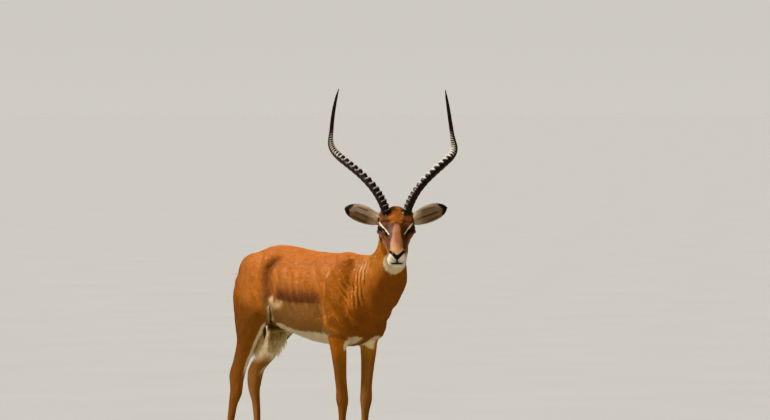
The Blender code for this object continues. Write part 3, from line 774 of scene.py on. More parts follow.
def paint_body(paint, at, facing, nodes):
    """Red back, fawn flank, white belly and the dark lines behind; at is in the stance's frame."""
    lay = paint.lay
    sided = mirrored(at)
    x, aside, z = sided.T
    ahead, _, upwards = facing.T
    inward = -facing[:, 1] * np.sign(at[:, 1])
    ragged = 4 * waves(at, 18, 11)
    trunk, tail, scrotum = (nodes == name for name in ("trunk", "tail", "scrotum"))
    torso = trunk | (nodes == "neck")
    fore, hind = (np.char.startswith(nodes, "leg_" + end) for end in ("front", "hind"))
    haunch = hind | (trunk & (x < -170))
    # Painted sunlight: the top of the back a little brighter and yellower.
    lay(SUNLIT_BACK_ORANGE, ramp(z, 800, 850) * ramp(x, 300, 200) * 0.7)
    # Painted sunlight along the top of the neck.
    lay(SUNLIT_GOLD, ramp(x, 230, 320) * ramp(z, 720, 800) * torso * 0.5)
    # Darker brown on the front of the neck and chest: partly the coat's own colour, partly painted shade on
    # the side facing ahead.
    lay(NECK_BROWN_AND_SHADE, ramp(x, 200, 300) * ramp(ahead, 0.15, 0.60) * 0.9)

    # The fawn band of the flank, sharp against the red, with painted shade on the red above its edge where
    # the barrel turns under.
    red_edge = np.interp(x, (-190, -160, -130, -90, 0, 130, 160), (690, 690, 688, 676, 668, 668, 662))
    fore_edge = 150 + 100 * ramp(z, 600, 550) + ragged
    band = below(z, red_edge + ragged, 4) * below(x, fore_edge, 8) * ramp(x, -215, -195) * torso
    flank = span(x, -140, -70, 100, 160) * torso
    # Painted shade: the red darkens downwards towards the band, most just above its edge.
    lay(PAINTED_SHADE_RED, ramp(z, red_edge + 85, red_edge + 8) * flank * 0.45)
    lay(PAINTED_SHADE_RED * 0.8, bell(z - red_edge - 12, 32) * flank * 0.85)
    lay(FAWN, band)
    # Painted shade in the hollow in front of the hip.
    hip = (-165, 80, 810), (-188, 98, 775), (-182, 104, 735), (-172, 106, 695)
    lay(PAINTED_SHADE_RED * 0.75, near(sided, hip, 24) * torso * 0.8)
    # Painted shade along the shoulder's rear edge.
    shoulder = (135, 100, 800), (160, 108, 740), (170, 108, 690)
    lay(PAINTED_SHADE_RED, near(sided, shoulder, 14) * torso * 0.168)
    # Painted shade in the troughs of the neck's folds, and painted sunlight on their crests.
    folds = pleats(at)
    lay(PAINTED_SHADE_RED * 0.7, ramp(-folds, 0.15, 0.65) * 0.85)
    lay(SUNLIT_GOLD, ramp(folds, 0.05, 0.6) * 0.6)
    # Darker brown low on the shoulder and chest: partly the coat's own colour, partly painted shade.
    lay(NECK_BROWN_AND_SHADE, ramp(x, 160, 240) * ramp(z, 700, 600) * torso * 0.6)
    # Painted highlight: a golden stripe along the shoulder's rear edge, above the fawn band.
    lay(SUNLIT_GOLD, bell(x - fore_edge - 12, 10) * span(z, 550, 590, 670, 710) * torso * 0.6)
    lay(CREAM, near(sided, ((-160, 101, 670), (-130, 108, 655), (-85, 115, 661)), 14) * band * 0.8)

    # White below, round the flank's rim, between the legs and inside them.
    stations = (-200, -170, -130, -90, -50, 0, 150, 200)
    white_edge = np.interp(x, stations, (585, 590, 588, 579, 571, 566, 563, 545))
    lay(BELLY_WHITE, below(z, white_edge + ragged, 4) * trunk * ramp(x, 200, 170))
    oval = np.hypot((x - 245) / 46, (z - 526) / 30) + 0.05 * waves(at, 20, 12)
    armpit = ramp(oval, 1.05, 0.92) * span(aside, 16, 26, 72, 85)
    lay(BELLY_WHITE, armpit * trunk)
    lay(LEG_FAWN, haunch * ramp(z, 710, 600) * ramp(x, -130, -170))
    lay(LEG_FAWN, fore * ramp(z, 520, 440))
    inside = ramp(inward, 0.05, 0.35)
    thigh = haunch * ramp(x, -120, -160)
    lay(BELLY_WHITE, thigh * inside * span(z, 420, 470, 680, 740))
    front_edge = ramp(ahead, 0.55, 0.75) * ramp(inward, -0.45, -0.15)
    lay(BELLY_WHITE, thigh * front_edge * span(z, 375, 415, 620, 660))
    # The slit between the flank and the thigh: white hair along its sides, and painted shade down its middle.
    slit = distance_to(sided, ((-168, 100, 648), (-174, 91, 628), (-184, 80, 608), (-206, 66, 588)))
    lay(BELLY_WHITE, bell(slit, 12.5) * ramp(z, 658, 645) * 1.1)
    lay(DARK_BROWN * 0.7, bell(slit, 5.4) * 1.3)
    # Painted shade on the inner side of the thigh, in the groin.
    groin = span(x, -365, -345, -240, -200) * span(z, 545, 565, 630, 660) * ramp(aside, 20, 30)
    lay(DARK_BROWN, haunch * groin * ramp(inward, 0.1, 0.4))
    lay(BELLY_WHITE, fore * armpit * ramp(inward, -0.20, 0.20))
    lay(CREAM * 0.8, (hind | fore) * inside * 0.15)

    # Each buttock is white behind, with one black line down it.
    back = ramp(x, -375, -400) * ramp(-ahead, 0.25, 0.55) * span(z, 500, 560, 770, 800)
    lay(WHITE, back * ramp(aside, 70, 52))
    lay(BLACK, back * bell(aside - 58 - 0.05 * (z - 650), 8.5) * 1.6)
    under_tail = ramp(aside, 60, 48) * ramp(x, -335, -365) * ramp(z, 740, 700)
    lay(BELLY_WHITE, trunk * under_tail * ramp(upwards, 0.1, -0.3))
    lay(WHITE, tail)
    lay(CHESTNUT, tail * ramp(z, 745, 775))
    tail_top = tail * ramp(0.3 * upwards - ahead, 0.30, 0.65) * ramp(aside, 13, 8)
    lay(BLACK, tail_top * ramp(z, 790, 760) * 1.2)

    # Darker shins, black tufts over the hind heels, dark pasterns.
    lay(DARK_BROWN, ramp(ahead, 0.55, 0.85) * bell(z - 240, 100) * (fore | hind) * 0.35)
    lay(BLACK, hind * bell(z - 118, 18) * ramp(-ahead, 0.15, 0.55) * 1.5)
    lay(DARK_BROWN, (hind | fore) * ramp(z, 60, 40) * 0.55)
    lay(SCROTUM_GREY, scrotum)
    lay(BLACK, scrotum * ramp(z, 535, 515))
    # Painted shade in the fold where the belly meets the thigh.
    lay(DARK_BROWN, near(sided, ((-196, 64, 590), (-215, 55, 580)), 14) * 1.1)


def paint_head(paint, points, facing, rim, shown):
    """The mask of the face; points and facing are in the head's own frame, shown is where the head is."""
    lay = paint.within(shown)
    at = mirrored(points)
    x, aside, up = at.T
    over = ramp(facing[:, 2], 0.15, 0.45)
    wisp = 2.2 * waves(points, 10, 21)
    lay(CHEEK_BROWN, 1)
    lay(CHESTNUT, ramp(x, 20, -20))
    lay(GREY_TAN, ramp(x, 100, 170) * ramp(up, -34, -50) * 0.75)
    lay(FOREHEAD_BROWN, over * span(x, 0, 20, 105, 125))
    tuft = np.interp(x, (20, 60, 95, 105), (20, 26, 20, 8)) + wisp
    lay(TUFT_ORANGE, over * below(aside, tuft, 4) * ramp(x, 108, 98))

    # Dark bands from the eyes towards the nostrils, on both sides of a tan bridge that widens downwards.
    band_out = np.interp(x, (60, 100, 130, 165, 200, 215), (40, 42, 40.5, 37, 32, 28)) + wisp
    lay(BAND_BROWN, below(aside, band_out, 4) * ramp(up, -36, -24) * span(x, 85, 105, 185, 210))
    bridge = np.interp(x, (98, 106, 115, 146, 172, 208, 235), (4, 9, 11.5, 15, 23, 24.5, 20)) + wisp
    strip = below(aside, bridge, 2.2) * ramp(x, 96 + wisp, 108 + wisp) * (up > -30)
    lay(BRIDGE_TAN, strip)
    lay(BRIDGE_TAN * tone(212, 190, 186), strip * near(at, ((140, 2, 12), (172, 2, 2)), 7) * 0.6)
    lay(TAN, ramp(x, 180, 205) * ramp(up, -34, -12) * ramp(aside, 26, 18) * 0.8)
    for place, size in (((95, 0, 31), 6.2), ((44, 0, 43), 7)):
        lay(BAND_BROWN, bell(np.linalg.norm(at - place, axis=1), size) * 0.9)

    # White muzzle, chin and throat.
    lip_edge = np.interp(x, (150, 175, 201, 218, 235, 245), (-72, -64, -50, -34, -16, -6)) + wisp
    lay(WHITE, ramp(up, lip_edge + 2, lip_edge - 4) * ramp(x, 140, 170))
    lay(WHITE, ramp(up, -74, -86) * ramp(x, 45, 75) * ramp(aside, 42, 30))
    lay(WHITE * 1.04, ramp(x, 212, 226) * ramp(up, -8, -16))

    # White line over each eye, dark rims, the tear's line and a greyish lower lid.
    lay(LID_OLIVE, near(at, ((92, 58, -16), (112, 49, -16)), 5.5) * 0.8)
    lay(BAND_BROWN * 0.8, near(at, LINES["tear"], 4.2) * 1.3)
    lay(RIM_BLACK * 1.8, near(at, LINES["under_brow"], 6.2) * np.interp(x, (110, 138), (1.2, 0.7)))
    brow = distance_to(at, LINES["brow"]) + wisp * 0.3
    half = np.interp(x, (56, 68, 95, 136), (1.6, 3, 2.6, 1.4))
    lay(WHITE * 1.05, ramp(brow, half + 1.2, half - 0.8))
    lay(RIM_BLACK, rim * 1.3)

    # Black nose leather in a V, the line below it, nostrils darkened inside by painted shade, and lips.
    width = np.interp(aside, (0, 6, 14, 22, 30), (8.2, 7, 6, 5.6, 3))
    leather = below(distance_to(at, LINES["nose"]), width, 0.9)
    leather = np.maximum(leather, ramp(distance_to(at, LINES["philtrum"]), 3.6, 2.2))
    lip_middle = near(at, ((245, 0, -43), (240, 15, -44)), 9)
    lay(LIP_GREY, near(at, LINES["philtrum"], 9.5) * 0.6 + lip_middle * 0.7)
    lip = np.interp(aside, (0, 14, 19, 24, 34), (4.6, 4, 2.2, 1, 0.6))
    lips = ramp(distance_to(at, LINES["mouth"]), lip + 0.8, lip - 0.6) * ramp(x, 170, 200)
    leather = np.maximum(leather, lips)
    lay(LEATHER, leather)
    # Painted shade inside the nostrils.
    lay(BLACK * 0.3, near(at, LINES["nostril"], 2.4) * 1.2)
    return np.clip(np.maximum(leather, rim * 0.8), 0, 1) * shown


def paint_throat(paint, at, shown):
    """The white patch under the jaw and down the top of the throat, in the head's own frame."""
    x, aside, up = mirrored(at).T
    ring = np.hypot((up + 156) / 38, aside / 45) + 0.04 * waves(at, 12, 31)
    jaw = ramp(aside, 30, 22) * span(up, -160, -145, -80, -70)
    paint.lay(BELLY_WHITE, np.maximum(ramp(ring, 1.04, 0.94), jaw) * ramp(x, 20, 35) * shown)


# The dark lines inside an ear: their place from edge to edge, start, end and half width.
EAR_LINES = ((-0.50, 0.30, 0.82, 0.075), (0.02, 0.12, 0.84, 0.085), (0.50, 0.35, 0.80, 0.070))


def paint_ears(paint, across, up, inside, shown):
    """Tan backs with black tips, pale insides with three dark lines and a dark edge."""
    lay = paint.within(shown)
    aside = np.abs(across)
    lay(LEG_FAWN * 1.1, 1)
    lay(EAR_GREY, inside)
    lay(WHITE, inside * ramp(up, 0.36, 0.12) * 0.8)
    for place, start, end, size in EAR_LINES:
        line = bell(across - place - 0.10 * (up - 0.5), size)
        lay(EAR_DARK, inside * line * span(up, start, start + 0.12, end - 0.15, end) * 0.85)
    lay(EAR_DARK, ramp(aside, 0.90, 0.97) * ramp(up, 0.25, 0.50) * 0.85)
    lay(WHITE * 0.9, inside * bell(aside - 0.80, 0.07) * span(up, 0.15, 0.3, 0.6, 0.8) * 0.6)
    lay(BLACK, ramp(up + 0.10 * aside, 0.865, 0.905))


def markings(places):
    """Colour and bareness at points of the skin or at the roots of its coat."""
    nodes = places.nodes
    paint = Paint(len(nodes), CHESTNUT)
    paint_body(paint, at_stance(places.points), places.normals, nodes)
    at = at_head(places.smooth)
    paint_throat(paint, at, np.isin(nodes, ["neck", "head"]))
    shown = (nodes == "head") * ramp(at[:, 0] - 0.35 * (at[:, 2] + 60), -30, 10)
    bare = paint_head(paint, at, places.normals @ np.array(HEAD)[:3, :3], places.rim, shown)
    paint_throat(paint, at, nodes == "head")
    paint_ears(paint, *places.ear, nodes == "ear")
    blotch = 1 + 0.07 * waves(places.points, 0.05, 41) + 0.05 * waves(places.points, 0.016, 42)
    return np.clip(paint.colours * blotch[:, None], 0, 1), np.maximum(bare, (nodes == "scrotum") * 0.6)


# ---------------------------------------------------------------- the finished skin
def unwrapped(obj):
    """Gives the skin a map of its own shape, in islands that don't overlap."""
    bpy.context.view_layer.objects.active = obj
    obj.select_set(True)
    obj.data.uv_layers.new(name="OFBake")
    bpy.ops.object.mode_set(mode="EDIT")
    bpy.ops.mesh.select_all(action="SELECT")
    bpy.ops.uv.smart_project(angle_limit=1.15, island_margin=0.0015)
    bpy.ops.object.mode_set(mode="OBJECT")
    obj.select_set(False)


class Skin:
    """The one skin, and what its coat has to know about every point of it."""

    def __init__(self):
        flesh = flesh_form()
        smooth = search_tree(flesh)
        settle_lines(smooth)
        nodes = shape_flesh(flesh)
        head_points = np.flatnonzero(nodes == "head")
        tree = search_tree(flesh)
        bm = bmesh.new()
        for name in ("ear_across", "ear_up", "lid_rim"):
            bm.verts.layers.float.new(name)
        bm.from_mesh(flesh)
        for node, form in (("head", lambda s: lid_form(s, tree)), ("ear", ear_form)):
            for s in SIDES.values():
                bm.from_mesh(form(s))
            nodes = np.append(nodes, [node] * (len(bm.verts) - len(nodes)))
        self.nodes = nodes
        self.mesh = mesh_from(bm, "skin")
        self.obj = show(self.mesh, "skin")
        self.points, self.normals = positions(self.mesh), vertex_normals(self.mesh)
        self.left = self.points[:, 1] > middle("head").y
        self.smooth = self.points.copy()
        for i in head_points:
            self.smooth[i] = smooth.find_nearest(Vector(self.points[i]))[0]
        self.read_ears()
        colours, self.bare = markings(self)
        store(self.mesh, "markings", colours)
        store(self.mesh, "bare", self.bare)
        unwrapped(self.obj)
        self.lie = self.lay_of_coat()

    def read_ears(self):
        """Where each point is on its ear, and whether it is on the inside; and the rim of the lids."""
        names = "ear_across", "ear_up", "lid_rim"
        across, up, self.rim = (read(self.mesh.attributes[name].data, "value") for name in names)
        out_of_cup = np.where(self.left[:, None], *(np.array(ear_frame(s))[:3, 0] for s in SIDES.values()))
        inside = (np.sum(self.normals * out_of_cup, axis=1) > 0) * (self.nodes == "ear")
        self.ear = (across, up, inside.astype(float))

    def lay_of_coat(self):
        """Which way the hair lies at each point, along the skin."""
        x, _, z = at_stance(self.points).T
        down = ramp(z, 800, 620)
        ways = np.column_stack((-np.ones(len(x)), np.zeros(len(x)), -0.15 - 0.55 * down))
        ways += ramp(x, 120, 240)[:, None] * (0.45, 0, -0.75)
        ways[self.nodes == "neck"] = (-0.62, 0, -0.78)
        ways += ramp(x, -300, -420)[:, None] * (0.6, 0, -1.2)
        ways[np.isin(self.nodes, LEGS)] = (-0.18, 0, -1)
        ways[np.isin(self.nodes, ["tail", "scrotum"])] = (-0.1, 0, -1)
        head = self.nodes == "head"
        x, y, z = at_head(self.points[head]).T
        lie = np.column_stack((-np.ones(len(x)), 0.35 * np.sign(y), -0.35 * ramp(z, 10, -30)))
        lie[x < 85] += (0.3, 0, 0.25)
        ways[head] = lie @ np.array(HEAD)[:3, :3].T
        for s in SIDES.values():
            ways[(self.nodes == "ear") & (self.left == (s > 0))] = np.array(ear_frame(s))[:3, 2]
        ways = smoothed(self.mesh, unit(ways), 14)
        ways -= self.normals * np.sum(ways * self.normals, axis=1)[:, None]
        return unit(ways)


# ---------------------------------------------------------------- the coat
# Hairs' length and width, how far tips stand off, and how many tufts grow on a square metre.
COATS = {
    "trunk": (0.0165, 0.0022, 0.0011, 125000),
    "neck": (0.0140, 0.0020, 0.0011, 150000),
    "head": (0.0062, 0.0013, 0.0006, 330000),
    "ear": (0.0068, 0.0015, 0.0006, 250000),
    "leg": (0.0086, 0.0015, 0.0006, 185000),
    "tail": (0.0120, 0.0026, 0.0016, 150000),
    "scrotum": (0.0050, 0.0014, 0.0003, 60000),
}
MOST_TUFTS = 33000  # in one piece
BAKE_PATCH = 0.0030  # how much of the skin's map one tuft or lock takes

# A tuft's corners are its root, its left, its right and its top where it is widest, and its tip. Its lower
# faces come first, so that the upper ones win wherever both lie on one place of the map.
TUFT_FACES = ((0, 1, 2), (1, 4, 2), (0, 3, 1), (0, 2, 3), (1, 3, 4), (3, 2, 4))
# Painted shade and light on a tuft's corners: darkest at its root, a little lighter on its top than its
# sides, lightest at its tip.
TUFT_SHADING = (0.86, 0.96, 0.96, 1.02, 1.10)
TUFT_PATCH = ((0, -1), (-1, 0), (1, 0), (0, 0), (0, 1))

# A lock has a tip and three rings, each of a left, a right and a top corner. A ring has its share of the
# length and its thickness.
LOCK_RINGS = ((0, 0.8), (0.35, 1.0), (0.7, 0.7))
LOCK_SIDES = ((0, 3, 1), (1, 3, 4), (1, 4, 2), (2, 4, 5), (2, 5, 0), (0, 5, 3))
LOCK_FACES = ((0, 1, 2), *LOCK_SIDES, *(np.array(LOCK_SIDES) + 3), (6, 9, 7), (7, 9, 8), (8, 9, 6))
# Painted shade and light along a lock: darkest at its root ring, lightest at its tip.
LOCK_SHADING = np.repeat((0.88, 0.98, 1.04, 1.10), (3, 3, 3, 1))
LOCK_PATCH = [(a, b) for b in (-1, -0.3, 0.4) for a in (-1, 1, 0)] + [(0, 1)]


class Roots:
    """Places on the skin where hair grows."""

    def __init__(self, skin, triangles, corner_uvs, seed):
        self.random = np.random.default_rng(seed)
        self.count = len(triangles)
        shares = self.random.dirichlet((1, 1, 1), self.count)

        def mixed(values):
            return np.einsum("ij,ij...->i...", shares, values[triangles])

        self.points, self.smooth, self.rim = mixed(skin.points), mixed(skin.smooth), mixed(skin.rim)
        self.normals, self.ways = unit(mixed(skin.normals)), unit(mixed(skin.lie))
        across, up, inside = skin.ear
        self.ear = (mixed(across), mixed(up), inside[triangles[:, 0]])
        self.nodes = skin.nodes[triangles[:, 0]]
        self.uvs = np.einsum("ij,ijk->ik", shares, corner_uvs)
        self.bare = mixed(skin.bare)
        self.colours = markings(self)[0]

    def keep(self, chosen):
        for name in ("points", "normals", "ways", "uvs", "colours"):
            setattr(self, name, getattr(self, name)[chosen])
        self.count = len(self.points)


class Field:
    """The skin's triangles, to sow roots on."""

    def __init__(self, skin):
        self.skin = skin
        mesh = skin.mesh
        mesh.calc_loop_triangles()
        self.corners = read(mesh.loop_triangles, "vertices", 3, np.int32)
        loops = read(mesh.loop_triangles, "loops", 3, np.int32)
        self.uvs = read(mesh.uv_layers["OFBake"].data, "uv", 2)[loops]
        a, b, c = (skin.points[self.corners[:, i]] for i in range(3))
        self.areas = np.linalg.norm(np.cross(b - a, c - a), axis=1) / 2
        self.centres = (a + b + c) / 3
        self.nodes = skin.nodes[self.corners[:, 0]]

    def sow(self, chosen, density, seed, most=MOST_TUFTS):
        """Roots on the chosen triangles, at density per square metre."""
        expected = self.areas * density * chosen
        expected *= min(1, most * 0.995 / expected.sum())
        random = np.random.default_rng(seed)
        number = np.floor(expected + random.random(len(expected))).astype(int)
        picks = np.repeat(np.arange(len(expected)), number)[:most]
        return Roots(self.skin, self.corners[picks], self.uvs[picks], seed)


def hair_piece(name, roots, corners, faces, tones, patch, uneven, material, slot):
    """One piece of many small solids, with the same faces, shading from root to tip and patch of the map."""
    count, size = corners.shape[:2]
    faces = (np.arange(count)[:, None, None] * size + np.array(faces)).reshape(-1, 3)
    shade = roots.random.normal(1.0, uneven, (count, 1, 1)) * np.array(tones)[:, None]
    uvs = (roots.uvs[:, None] + np.array(patch) * BAKE_PATCH / 2).reshape(-1, 2)
    mesh = bpy.data.meshes.new(name)
    mesh.vertices.add(count * size)
    mesh.vertices.foreach_set("co", corners.astype(np.float32).ravel())
    mesh.loops.add(faces.size)
    mesh.loops.foreach_set("vertex_index", faces.astype(np.int32).ravel())
    mesh.polygons.add(len(faces))
    mesh.polygons.foreach_set("loop_start", np.arange(len(faces), dtype=np.int32) * 3)
    layer = mesh.uv_layers.new(name="OFBake")
    layer.data.foreach_set("uv", uvs[faces.ravel()].astype(np.float32).ravel())
    store(mesh, "markings", np.clip(roots.colours[:, None] * shade, 0, 1).reshape(-1, 3))
    store(mesh, "bare", np.zeros(count * size))
    mesh.update()
    mesh.validate()
    finish_piece(show(mesh, name), material, slot)


def tufts(name, roots, length, width, lift, material, slot):
    """Thin closed grains that lie along the skin: sharp at both ends, with a ridge on top."""
    draw, up = roots.random.uniform, roots.normals
    long = (length * draw(0.75, 1.25, roots.count))[:, None]
    half = (width * draw(0.38, 0.60, roots.count))[:, None]
    off = (lift * draw(0.4, 1.5, roots.count))[:, None]
    way = unit(roots.ways + np.cross(up, roots.ways) * roots.random.normal(0, 0.16, (roots.count, 1)))
    across = np.cross(up, way)
    widest = roots.points + way * long * 0.22 + up * off * 0.25
    corners = (
        roots.points - up * 0.0006 - way * long * 0.2,
        widest - across * half,
        widest + across * half,
        widest + up * half * 0.45,
        roots.points + way * long * 0.8 + up * off,
    )
    corners = np.stack(corners, axis=1)
    hair_piece(name, roots, corners, TUFT_FACES, TUFT_SHADING, TUFT_PATCH, 0.055, material, slot)


def locks(name, roots, ways, length, width, droop, material, slot, uneven):
    """Longer hair: flat three-sided locks that leave the skin along ways and bend down by droop."""
    draw, scatter = roots.random.uniform, roots.random.normal
    long = (length * draw(0.7, 1.2, roots.count))[:, None]
    half = (width * draw(0.35, 0.6, roots.count))[:, None]
    way = unit(ways + scatter(0, 0.10, (roots.count, 3)))
    across = unit(np.cross(roots.normals + scatter(0, 0.3, (roots.count, 3)), way))
    top = np.cross(way, across)
    fall = long * (0, 0, droop)
    corners = []
    for share, thick in LOCK_RINGS:
        at = roots.points - roots.normals * 0.002 + way * long * share - fall * share**2
        corners += [at - across * half * thick, at + across * half * thick, at + top * half * thick * 0.5]
    corners.append(roots.points + way * long - fall)
    corners = np.stack(corners, axis=1)
    hair_piece(name, roots, corners, LOCK_FACES, LOCK_SHADING, LOCK_PATCH, uneven, material, slot)


def grow_short_coat(field, material):
    """Flat tufts over all the skin but the nose, lips and eyelids' edges."""
    nodes, x = field.nodes, at_stance(field.centres)[:, 0]
    trunk = nodes == "trunk"
    patches = {
        "shoulders": (trunk & (x > 115), "trunk", "red_coat"),
        "flanks": (trunk & (x <= 115) & (x > -190), "trunk", "red_coat"),
        "rump": (trunk & (x <= -190), "trunk", "red_coat"),
        "neck": (nodes == "neck", "neck", "red_coat"),
        "head": (nodes == "head", "head", "red_coat"),
        "ears": (nodes == "ear", "ear", "ear_coat"),
        "tail": (nodes == "tail", "tail", "white_coat"),
        "scrotum": (nodes == "scrotum", "scrotum", "dark_skin"),
        **{leg: (nodes == leg, "leg", "fawn_coat") for leg in LEGS},
    }
    for seed, (name, (chosen, coat, slot)) in enumerate(patches.items(), 100):
        length, width, lift, density = COATS[coat]
        roots = field.sow(chosen, density, seed)
        socket = np.linalg.norm(mirrored(at_head(roots.points)) / 1000 - EYE_AT, axis=1)
        wanted = (roots.bare < 0.25) | (coat == "scrotum")
        roots.keep(wanted & ((socket > EYE_RADIUS - 0.0003) | (coat != "head")))
        at = at_stance(roots.points)
        size = np.ones(roots.count)
        if coat == "head":
            size *= np.interp(at_head(roots.points)[:, 0], (20, 90, 160, 240), (1.7, 1.1, 0.95, 0.62))
        if coat == "leg":
            size *= np.interp(at[:, 2], (50, 200, 450, 600), (0.75, 0.72, 1.0, 1.45))
        if coat == "neck":
            size *= np.interp(at[:, 2], (660, 920), (1.05, 0.70))
        if coat in ("neck", "trunk"):
            size *= 1 - 0.5 * np.clip(sum(pleated(at)), 0, 1)
        tufts(f"coat_{name}", roots, length * size, width * size**0.5, lift * size, material, slot)


def grow_long_hair(field, material):
    """The white fan between the thighs, and the hair of the tail, heels, crown, ears and belly."""
    nodes, at = field.nodes, at_stance(field.centres)
    x, aside, z = mirrored(at).T
    facing = field.skin.normals[field.corners[:, 0]]
    inward = -facing[:, 1] * np.sign(at[:, 1])
    trunk, hind = nodes == "trunk", np.char.startswith(nodes, "leg_hind")

    groin = (trunk | hind) & between(x, -360, -270) & between(z, 490, 552) & (aside < 62)
    roots = field.sow(groin & ((inward > 0.1) | (facing[:, 2] < -0.3)), 110000, 301, 1800)
    roots.colours[:] = BELLY_WHITE
    ways = roots.normals * 0.15 + (0.14, 0, -1)
    locks("hair_groin", roots, ways, 0.040, 0.0026, 0.1, material, "white_coat", 0.11)

    roots = field.sow((nodes == "tail") & (z < 770), 150000, 302, 4200)
    ways = roots.ways + roots.normals * 0.16
    length = np.interp(at_stance(roots.points)[:, 2], (520, 600, 770), (0.020, 0.036, 0.034))
    locks("hair_tail", roots, ways, length, 0.0028, 0.0, material, "white_coat", 0.08)

    roots = field.sow(hind & between(z, 104, 136) & (facing[:, 0] < -0.35), 700000, 303, 1300)
    roots.colours[:] = BLACK
    ways = roots.normals * 0.25 + (-0.35, 0, -1)
    locks("hair_heels", roots, ways, 0.019, 0.0018, 0.0, material, "dark_skin", 0.15)

    down_face, _, over = at_head(field.centres).T
    crown = (nodes == "head") & between(down_face, 5, 88) & (over > 20)
    roots = field.sow(crown, 700000, 304, 2600)
    ways = roots.ways + roots.normals * 0.55
    locks("hair_crown", roots, ways, 0.0125, 0.0019, 0.0, material, "red_coat", 0.12)

    across, up, inside = (values[field.corners[:, 0]] for values in field.skin.ear)
    lining = (nodes == "ear") & (inside > 0) & between(up, 0.06, 0.80)
    roots = field.sow(lining & ((np.abs(across) > 0.55) | (up < 0.3)), 330000, 305, 2400)
    roots.colours[:] = CREAM * 0.8 + WHITE * 0.1
    ways = roots.ways + roots.normals * 0.22
    length = 0.0130 - 0.0060 * ramp(roots.ear[1], 0.1, 0.4)
    locks("hair_ears", roots, ways, length, 0.0014, 0.0, material, "ear_coat", 0.10)

    roots = field.sow(trunk & (facing[:, 2] < -0.5) & between(x, -240, 170), 30000, 306, 3000)
    ways = roots.ways + roots.normals * 0.10
    locks("hair_belly", roots, ways, 0.015, 0.0024, 0.1, material, "white_coat", 0.06)


# ---------------------------------------------------------------- horns, eyes and hooves
HORN_RADIUS = (
    (0, 0.10, 0.30, 0.55, 0.66, 0.74, 0.88, 0.95, 1),
    (0.0170, 0.0164, 0.0147, 0.0134, 0.0110, 0.0079, 0.0064, 0.0045, 0.0011),
)
RINGED_SHARE = 0.77
RING_STEPS = (
    (0, 0.16, 0.25, 0.50, 0.57, 0.66, 1),
    (0.0165, 0.0165, 0.0270, 0.0270, 0.0150, 0.0098, 0.0098),
)
RING_RISE = 0.66  # the share of a ring's step that rises slowly, before the drop
RING_HEIGHT = 0.0052
RING_COUNTS = 2000  # places along a horn where the rings are counted
HORN_ROOT = 0.030  # how far the sheath runs on inside the skull
CUTS = 60
HOOF_RING_STEP = 0.0058
HOOF_RING_HEIGHT = 0.00022


def middle_line(node):
    """Points up the middle of a packed horn: the centres of its level cuts, and its tip."""
    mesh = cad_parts[node].data
    points = positions(mesh)
    a, b = points[read(mesh.edges, "vertices", 2, np.int32).T]
    low, high = points[:, 2].min(), points[:, 2].max()
    line = []
    for height in np.linspace(low + 0.030, high - 0.004, CUTS):
        crossing = (a[:, 2] - height) * (b[:, 2] - height) < 0
        one, two = a[crossing], b[crossing]
        share = (height - one[:, 2]) / (two[:, 2] - one[:, 2])
        cut = one + share[:, None] * (two - one)
        cut = cut[np.argsort(np.arctan2(*(cut - cut.mean(0))[:, :2].T))]
        following = np.roll(cut, -1, axis=0)
        pieces = np.linalg.norm(following - cut, axis=1)
        line.append(((cut + following) / 2 * pieces[:, None]).sum(0) / pieces.sum())
    line = np.array(line)
    for _ in range(6):
        line[1:-1] = line[1:-1] * 0.5 + (line[:-2] + line[2:]) * 0.25
    root = line[0] + unit(line[0] - line[3]) * HORN_ROOT
    return np.vstack((root, line, points[points[:, 2].argmax()]))


